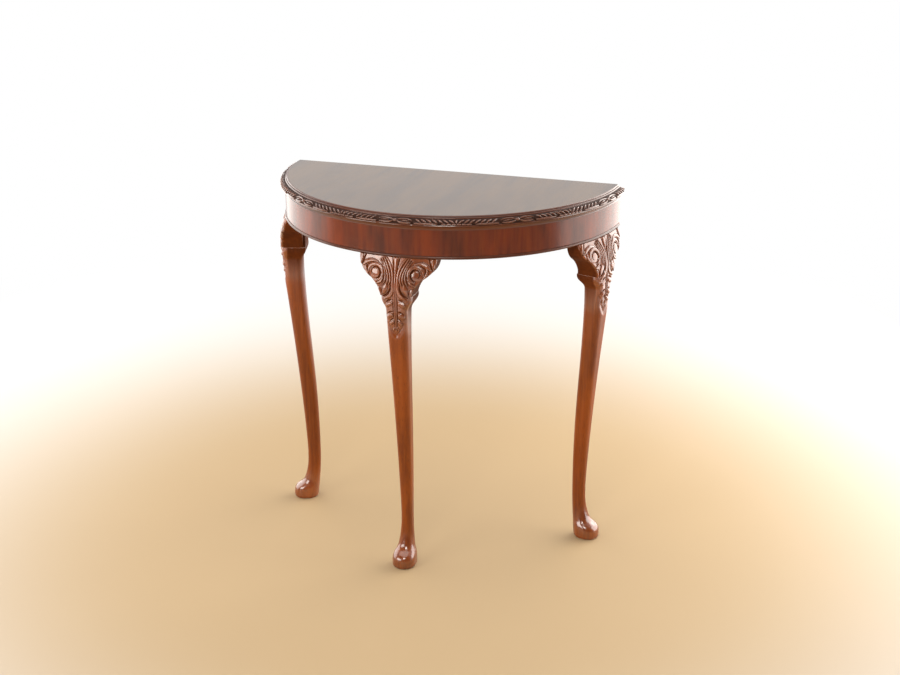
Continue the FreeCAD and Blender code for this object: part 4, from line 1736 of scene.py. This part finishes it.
@dataclass(frozen=True)
class ScrewSet:
    """Slotted countersunk screws of the hidden frame, set by geometry nodes."""

    plan: TablePlan
    legs: LegSet
    head_radius: float = 4.4
    head_height: float = 3.4
    head_chamfer: float = 0.3
    head_edge: float = 0.35
    shank_radius: float = 2.2
    thread_root: float = 0.78
    thread_pitch: float = 2.2
    thread_start: float = 0.6
    thread_rise: tuple[float, float] = (0.7, 1.3)
    point: float = 5.0
    tip_radius: float = 0.3
    slot_width: float = 1.0
    slot_depth: float = 0.9
    leg_length: float = 32.0
    leg_rise: float = 28.0
    leg_spread: float = 17.0
    post_back: float = -37.0
    top_length: float = 34.0
    block_height: float = 22.0
    block_depth: float = 26.0
    core_inner: float = 326.0
    rail_thickness: float = 20.0
    fixing_angles: tuple[float, float] = (42.0, 66.0)
    bearer_shares: tuple[float, float] = (0.25, 0.75)
    round_steps: int = 28

    def _screw(self, name: str, length: float) -> bpy.types.Object:
        """Makes one screw along +Z with its slotted head's face at the origin.

        Args:
            name: Name of the screw.
            length: Its length.

        Returns:
            The screw as an object.
        """
        root = self.shank_radius * self.thread_root
        low, high = self.thread_rise
        outline = [(self.head_radius - self.head_chamfer, 0.0), (self.head_radius, self.head_edge),
                   (self.shank_radius, self.head_height)]
        for turn in range(int((length - self.head_height - self.point) / self.thread_pitch)):
            start = self.head_height + self.thread_start + self.thread_pitch * turn
            outline += [(root, start + low), (self.shank_radius, start + high)]
        outline += [(root, length - self.point), (self.tip_radius, length)]
        angles = np.linspace(0.0, 2.0 * math.pi, self.round_steps, endpoint=False)
        rings = np.array([
            np.stack([radius * np.cos(angles), radius * np.sin(angles),
                      np.full(self.round_steps, height)], -1) for radius, height in outline])
        screw = new_piece(name, rings * MM, stacked_faces(len(rings), self.round_steps))
        block = bmesh.new()
        bmesh.ops.create_cube(block, size=1.0)
        size = (self.head_radius * 3.0 * MM, self.slot_width * MM, 2.0 * self.slot_depth * MM)
        bmesh.ops.scale(block, vec=size, verts=block.verts)
        cutter = link(f"{name}_slot", bpy.data.meshes.new(f"{name}_slot"))
        block.to_mesh(cutter.data)
        block.free()
        cut = screw.modifiers.new("slot", "BOOLEAN")
        cut.operation = "DIFFERENCE"
        cut.solver = "EXACT"
        cut.object = cutter
        mesh = plain_mesh(screw)
        bpy.data.objects.remove(screw)
        bpy.data.objects.remove(cutter)
        return link(name, mesh)

    @staticmethod
    def _tree() -> bpy.types.NodeTree:
        """Builds the tree that sets a screw at every point, along the direction stored there.

        Returns:
            The geometry node tree.
        """
        tree = new_tree("set_screws", "Geometry",
                        {"Places": "Geometry", "Screw": "Object", "Material": "Material"},
                        {"Screws": "Geometry"})
        sheet = NodeSheet(tree)
        given = sheet.add("NodeGroupInput").outputs
        one = sheet.add("GeometryNodeObjectInfo", {"Object": given["Screw"]})
        facing = sheet.add("GeometryNodeInputNamedAttribute", {"Name": FACING},
                           data_type="FLOAT_VECTOR")
        turned = sheet.add("FunctionNodeAlignRotationToVector", {"Vector": facing.outputs[0]},
                           axis="Z")
        points = sheet.add("GeometryNodeMeshToPoints", {0: given["Places"]})
        placed = sheet.add("GeometryNodeInstanceOnPoints", {
            "Points": points.outputs[0], "Instance": one.outputs["Geometry"],
            "Rotation": turned.outputs[0]})
        real = sheet.add("GeometryNodeRealizeInstances", {0: placed.outputs[0]})
        dressed = sheet.add("GeometryNodeSetMaterial", {
            "Geometry": real.outputs[0], "Material": given["Material"]})
        sheet.add("NodeGroupOutput", {0: dressed.outputs[0]})
        return tree

    def _leg_places(self) -> tuple[np.ndarray, np.ndarray]:
        """Finds the leg screws.

        Returns:
            Where their heads lie, and the directions that they point in.
        """
        spots = []
        ways = []
        side = np.array([-self.leg_spread, self.leg_spread])
        out = np.full(2, self.plan.apron_radius + self.post_back)
        height = np.full(2, self.plan.shoulder + self.leg_rise)
        for turn in self.legs.turns().values():
            spots.append(self.plan.place(turn, out, side, height))
            angle = math.radians(turn)
            ways += [(math.cos(angle), math.sin(angle), 0.0)] * 2
        return np.concatenate(spots), np.array(ways)

    def _top_places(self) -> tuple[np.ndarray, np.ndarray]:
        """Finds the screws up into the top.

        Returns:
            Where their heads lie, and the directions that they point in.
        """
        low = self.plan.panel_underside - self.block_height
        reach = np.array(self.core_inner - self.block_depth / 2)
        spots = []
        for fixing in self.fixing_angles:
            for turn in (-fixing, 180.0 + fixing):
                spots.append(self.plan.place(turn, reach, np.array(0.0), np.array(low)))
        front = self.plan.axis_y - self.plan.apron_radius - self.post_back
        length = self.plan.back_y - self.rail_thickness - front
        for share in self.bearer_shares:
            spots.append(np.array((0.0, front + share * length, low)) * MM)
        return np.array(spots), np.tile((0.0, 0.0, 1.0), (len(spots), 1))

    def build(self) -> None:
        """Sets and dresses both groups of screws."""
        tree = self._tree()
        finish = SteelFinish().material()
        groups = (("leg_screws", self.leg_length, self._leg_places()),
                  ("top_fixing_screws", self.top_length, self._top_places()))
        for node, length, (spots, ways) in groups:
            unit = self._screw(f"{node}_unit", length)
            holder = new_piece(f"slotted_{node}", spots, [])
            keep_values(holder, FACING, ways)
            holder.data = evaluated(holder, tree, {"Screw": unit, "Material": finish})
            bpy.data.objects.remove(unit)
            settle(holder, finish, Slot.STEEL, node)


@dataclass(frozen=True)
class FrameDress:
    """Finishes of the pieces that keep their frame meshes."""

    nodes: dict[str, bpy.types.Object]

    def build(self) -> None:
        """Dresses the veneers of the top and the timber behind them."""
        finishes = {
            "top_veneer_left": TOP_FINISH,
            "top_veneer_right": TOP_FINISH,
            "top_panel": frame_finish(Along.X),
            "apron_core": frame_finish(Along.X),
            "back_rail": frame_finish(Along.X),
            "centre_bearer": frame_finish(Along.Y),
            "leg_glue_blocks": frame_finish(Along.Z),
            "top_fixing_blocks": frame_finish(Along.X),
        }
        for name, finish in finishes.items():
            node = self.nodes[name]
            node.data.materials.clear()
            node.data.materials.append(finish.material())
            LOG.info("%s: %s", name, finish.name)


@dataclass(frozen=True)
class Lamp:
    """A soft lamp that faces a height in the table's middle, with its sizes in metres."""

    name: str
    place: Place
    size: tuple[float, float]
    watts: float
    aim: float = 0.5
    tint: Colour = (1.0, 0.97, 0.91)

    def hang(self) -> None:
        """Hangs the lamp out of the camera's sight."""
        data = bpy.data.lights.new(self.name, "AREA")
        data.shape = "RECTANGLE"
        data.size, data.size_y = self.size
        data.energy = self.watts
        data.color = self.tint
        lamp = link(self.name, data)
        lamp.location = self.place
        way = Vector((0.0, 0.0, self.aim)) - Vector(self.place)
        lamp.rotation_euler = way.to_track_quat("-Z", "Y").to_euler()
        lamp.visible_camera = False


@dataclass(frozen=True)
class Studio:
    """Floor, light and camera."""

    plan: TablePlan
    # camera, from the middle of the straight back on the floor, with its turns in degrees
    eye: Place = (989.9, -2967.7, 1511.0)
    yaw: float = 18.629
    pitch: float = 20.008
    roll: float = -0.278
    lens: float = 63.26
    sensor: float = 36.0
    sight: float = 50.0
    # floor in metres, paler far away, and the depths between which its mirror image turns white
    floor_radius: float = 7.0
    floor_sides: int = 96
    floor_roughness: float = 0.6
    floor_specular: float = 0.2
    floor_near: Colour = (0.46, 0.33, 0.19)
    floor_far: Colour = (0.90, 0.88, 0.85)
    fade: tuple[float, float] = (0.45, 2.2)
    floor_behind: tuple[float, float] = (-0.7, 0.3)
    # light of the room before and behind the table, and the directions where it changes
    room_front: Colour = (0.17, 0.155, 0.13)
    room_behind: Colour = (0.45, 0.445, 0.43)
    room_change: tuple[float, float] = (-0.35, 0.25)
    lamps: tuple[Lamp, ...] = (
        Lamp("left_window", (-1.75, 0.4, 0.8), (2.4, 1.5), 27.0),
        Lamp("right_window", (1.25, 0.9, 0.72), (2.3, 1.4), 38.0),
        Lamp("overhead", (-0.2, -0.4, 3.0), (2.8, 2.2), 27.0),
        Lamp("rear_lamp", (0.95, 2.2, 1.9), (2.2, 1.5), 34.0, aim=0.3),
        Lamp("front_lamp", (0.4, -2.6, 2.4), (1.0, 0.8), 28.0, aim=0.4),
        Lamp("side_lamp", (-1.35, -1.9, 0.95), (1.5, 1.0), 29.0),
    )

    def camera(self) -> None:
        """Sets up the camera at the photograph's viewing angle."""
        yaw, pitch, roll = (math.radians(one) for one in (self.yaw, self.pitch, self.roll))
        back = Vector((math.sin(yaw) * math.cos(pitch), -math.cos(yaw) * math.cos(pitch),
                       math.sin(pitch)))
        right = Vector((math.cos(yaw), math.sin(yaw), 0.0))
        up = back.cross(right)
        level = right * math.cos(roll) + up * math.sin(roll)
        upright = up * math.cos(roll) - right * math.sin(roll)
        data = bpy.data.cameras.new("view")
        data.lens = self.lens
        data.sensor_width = self.sensor
        data.sensor_fit = "HORIZONTAL"
        data.clip_end = self.sight
        camera = link("view", data)
        turn = Matrix((level, upright, back)).transposed().to_4x4()
        x, y, z = self.eye
        place = Vector((x, y + self.plan.back_y, z)) * MM
        camera.matrix_world = Matrix.Translation(place) @ turn
        bpy.context.scene.camera = camera

    def floor(self) -> None:
        """Lays a plain pale floor that grows paler away from the table."""
        rim = np.linspace(0.0, 2.0 * math.pi, self.floor_sides, endpoint=False)
        points = np.stack([np.cos(rim), np.sin(rim), np.zeros_like(rim)], axis=-1)
        floor = new_piece("pale_floor", points * self.floor_radius, [tuple(range(len(rim)))])
        finish, sheet = new_material("pale_floor")
        place = sheet.add("ShaderNodeTexCoord").outputs["Object"]
        away = sheet.add("ShaderNodeVectorMath", {0: place}, operation="LENGTH").outputs["Value"]
        share = sheet.add("ShaderNodeMapRange", {0: away, 1: self.fade[0], 2: self.fade[1]},
                          interpolation_type="SMOOTHERSTEP").outputs["Result"]
        paint = sheet.add("ShaderNodeBsdfPrincipled", {
            "Base Color": sheet.mix(share, self.floor_near, self.floor_far),
            "Roughness": self.floor_roughness, "Specular IOR Level": self.floor_specular})
        white = sheet.add("ShaderNodeEmission", {"Color": (1.0, 1.0, 1.0, 1.0), "Strength": 1.0})
        depth = sheet.add("ShaderNodeSeparateXYZ", {0: place}).outputs["Y"]
        seen = self._seen(sheet, sheet.span(depth, *self.floor_behind, 0.0, 1.0))
        both = sheet.add("ShaderNodeMixShader", {
            0: sheet.maths("MULTIPLY", share, seen), 1: paint.outputs[0], 2: white.outputs[0]})
        sheet.add("ShaderNodeOutputMaterial", {"Surface": both.outputs[0]})
        floor.data.materials.append(finish)

    @staticmethod
    def _seen(sheet: NodeSheet, behind: Socket) -> Socket:
        """Gives how white the background looks along a ray.

        Args:
            sheet: The tree's own sheet.
            behind: 1 behind the table and 0 in front of it.

        Returns:
            1 for what the camera sees, and for what is mirrored or seen through glass behind it.
        """
        path = sheet.add("ShaderNodeLightPath").outputs
        mirrored = sheet.maths("MAXIMUM", path["Is Glossy Ray"], path["Is Transmission Ray"])
        return sheet.maths("MAXIMUM", path["Is Camera Ray"],
                           sheet.maths("MULTIPLY", mirrored, behind))

    def world(self) -> None:
        """Surrounds the table with a white background and soft light, dimmer in front."""
        world = bpy.data.worlds.new("studio")
        bpy.context.scene.world = world
        world.use_nodes = True
        world.node_tree.nodes.clear()
        sheet = NodeSheet(world.node_tree)
        way = sheet.add("ShaderNodeTexCoord").outputs["Generated"]
        axes = sheet.add("ShaderNodeSeparateXYZ", {0: way}).outputs
        behind = sheet.span(axes["Y"], *self.room_change, 0.0, 1.0)
        room = sheet.mix(behind, self.room_front, self.room_behind)
        seen = sheet.mix(self._seen(sheet, behind), room, (1.0, 1.0, 1.0))
        light = sheet.add("ShaderNodeBackground", {"Color": seen, "Strength": 1.0})
        sheet.add("ShaderNodeOutputWorld", {"Surface": light.outputs[0]})

    def build(self) -> None:
        """Sets the whole stage."""
        bpy.context.scene.view_settings.view_transform = "Standard"
        self.camera()
        self.floor()
        self.world()
        for lamp in self.lamps:
            lamp.hang()
        LOG.info("stage set")


def main() -> None:
    """Builds every sub-assembly in order."""
    logging.basicConfig(level=logging.INFO, format="%(message)s")
    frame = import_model()
    plan = TablePlan(back_y=round(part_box("top_panel")[1].y / MM, 3))
    legs = LegSet(plan)
    edge = EdgeMoulding(plan)
    Studio(plan).build()
    FrameDress(frame["nodes"]).build()
    legs.build()
    edge.build()
    Apron(plan, edge).build()
    ScrewSet(plan, legs).build()


if __name__ == "__main__":
    main()
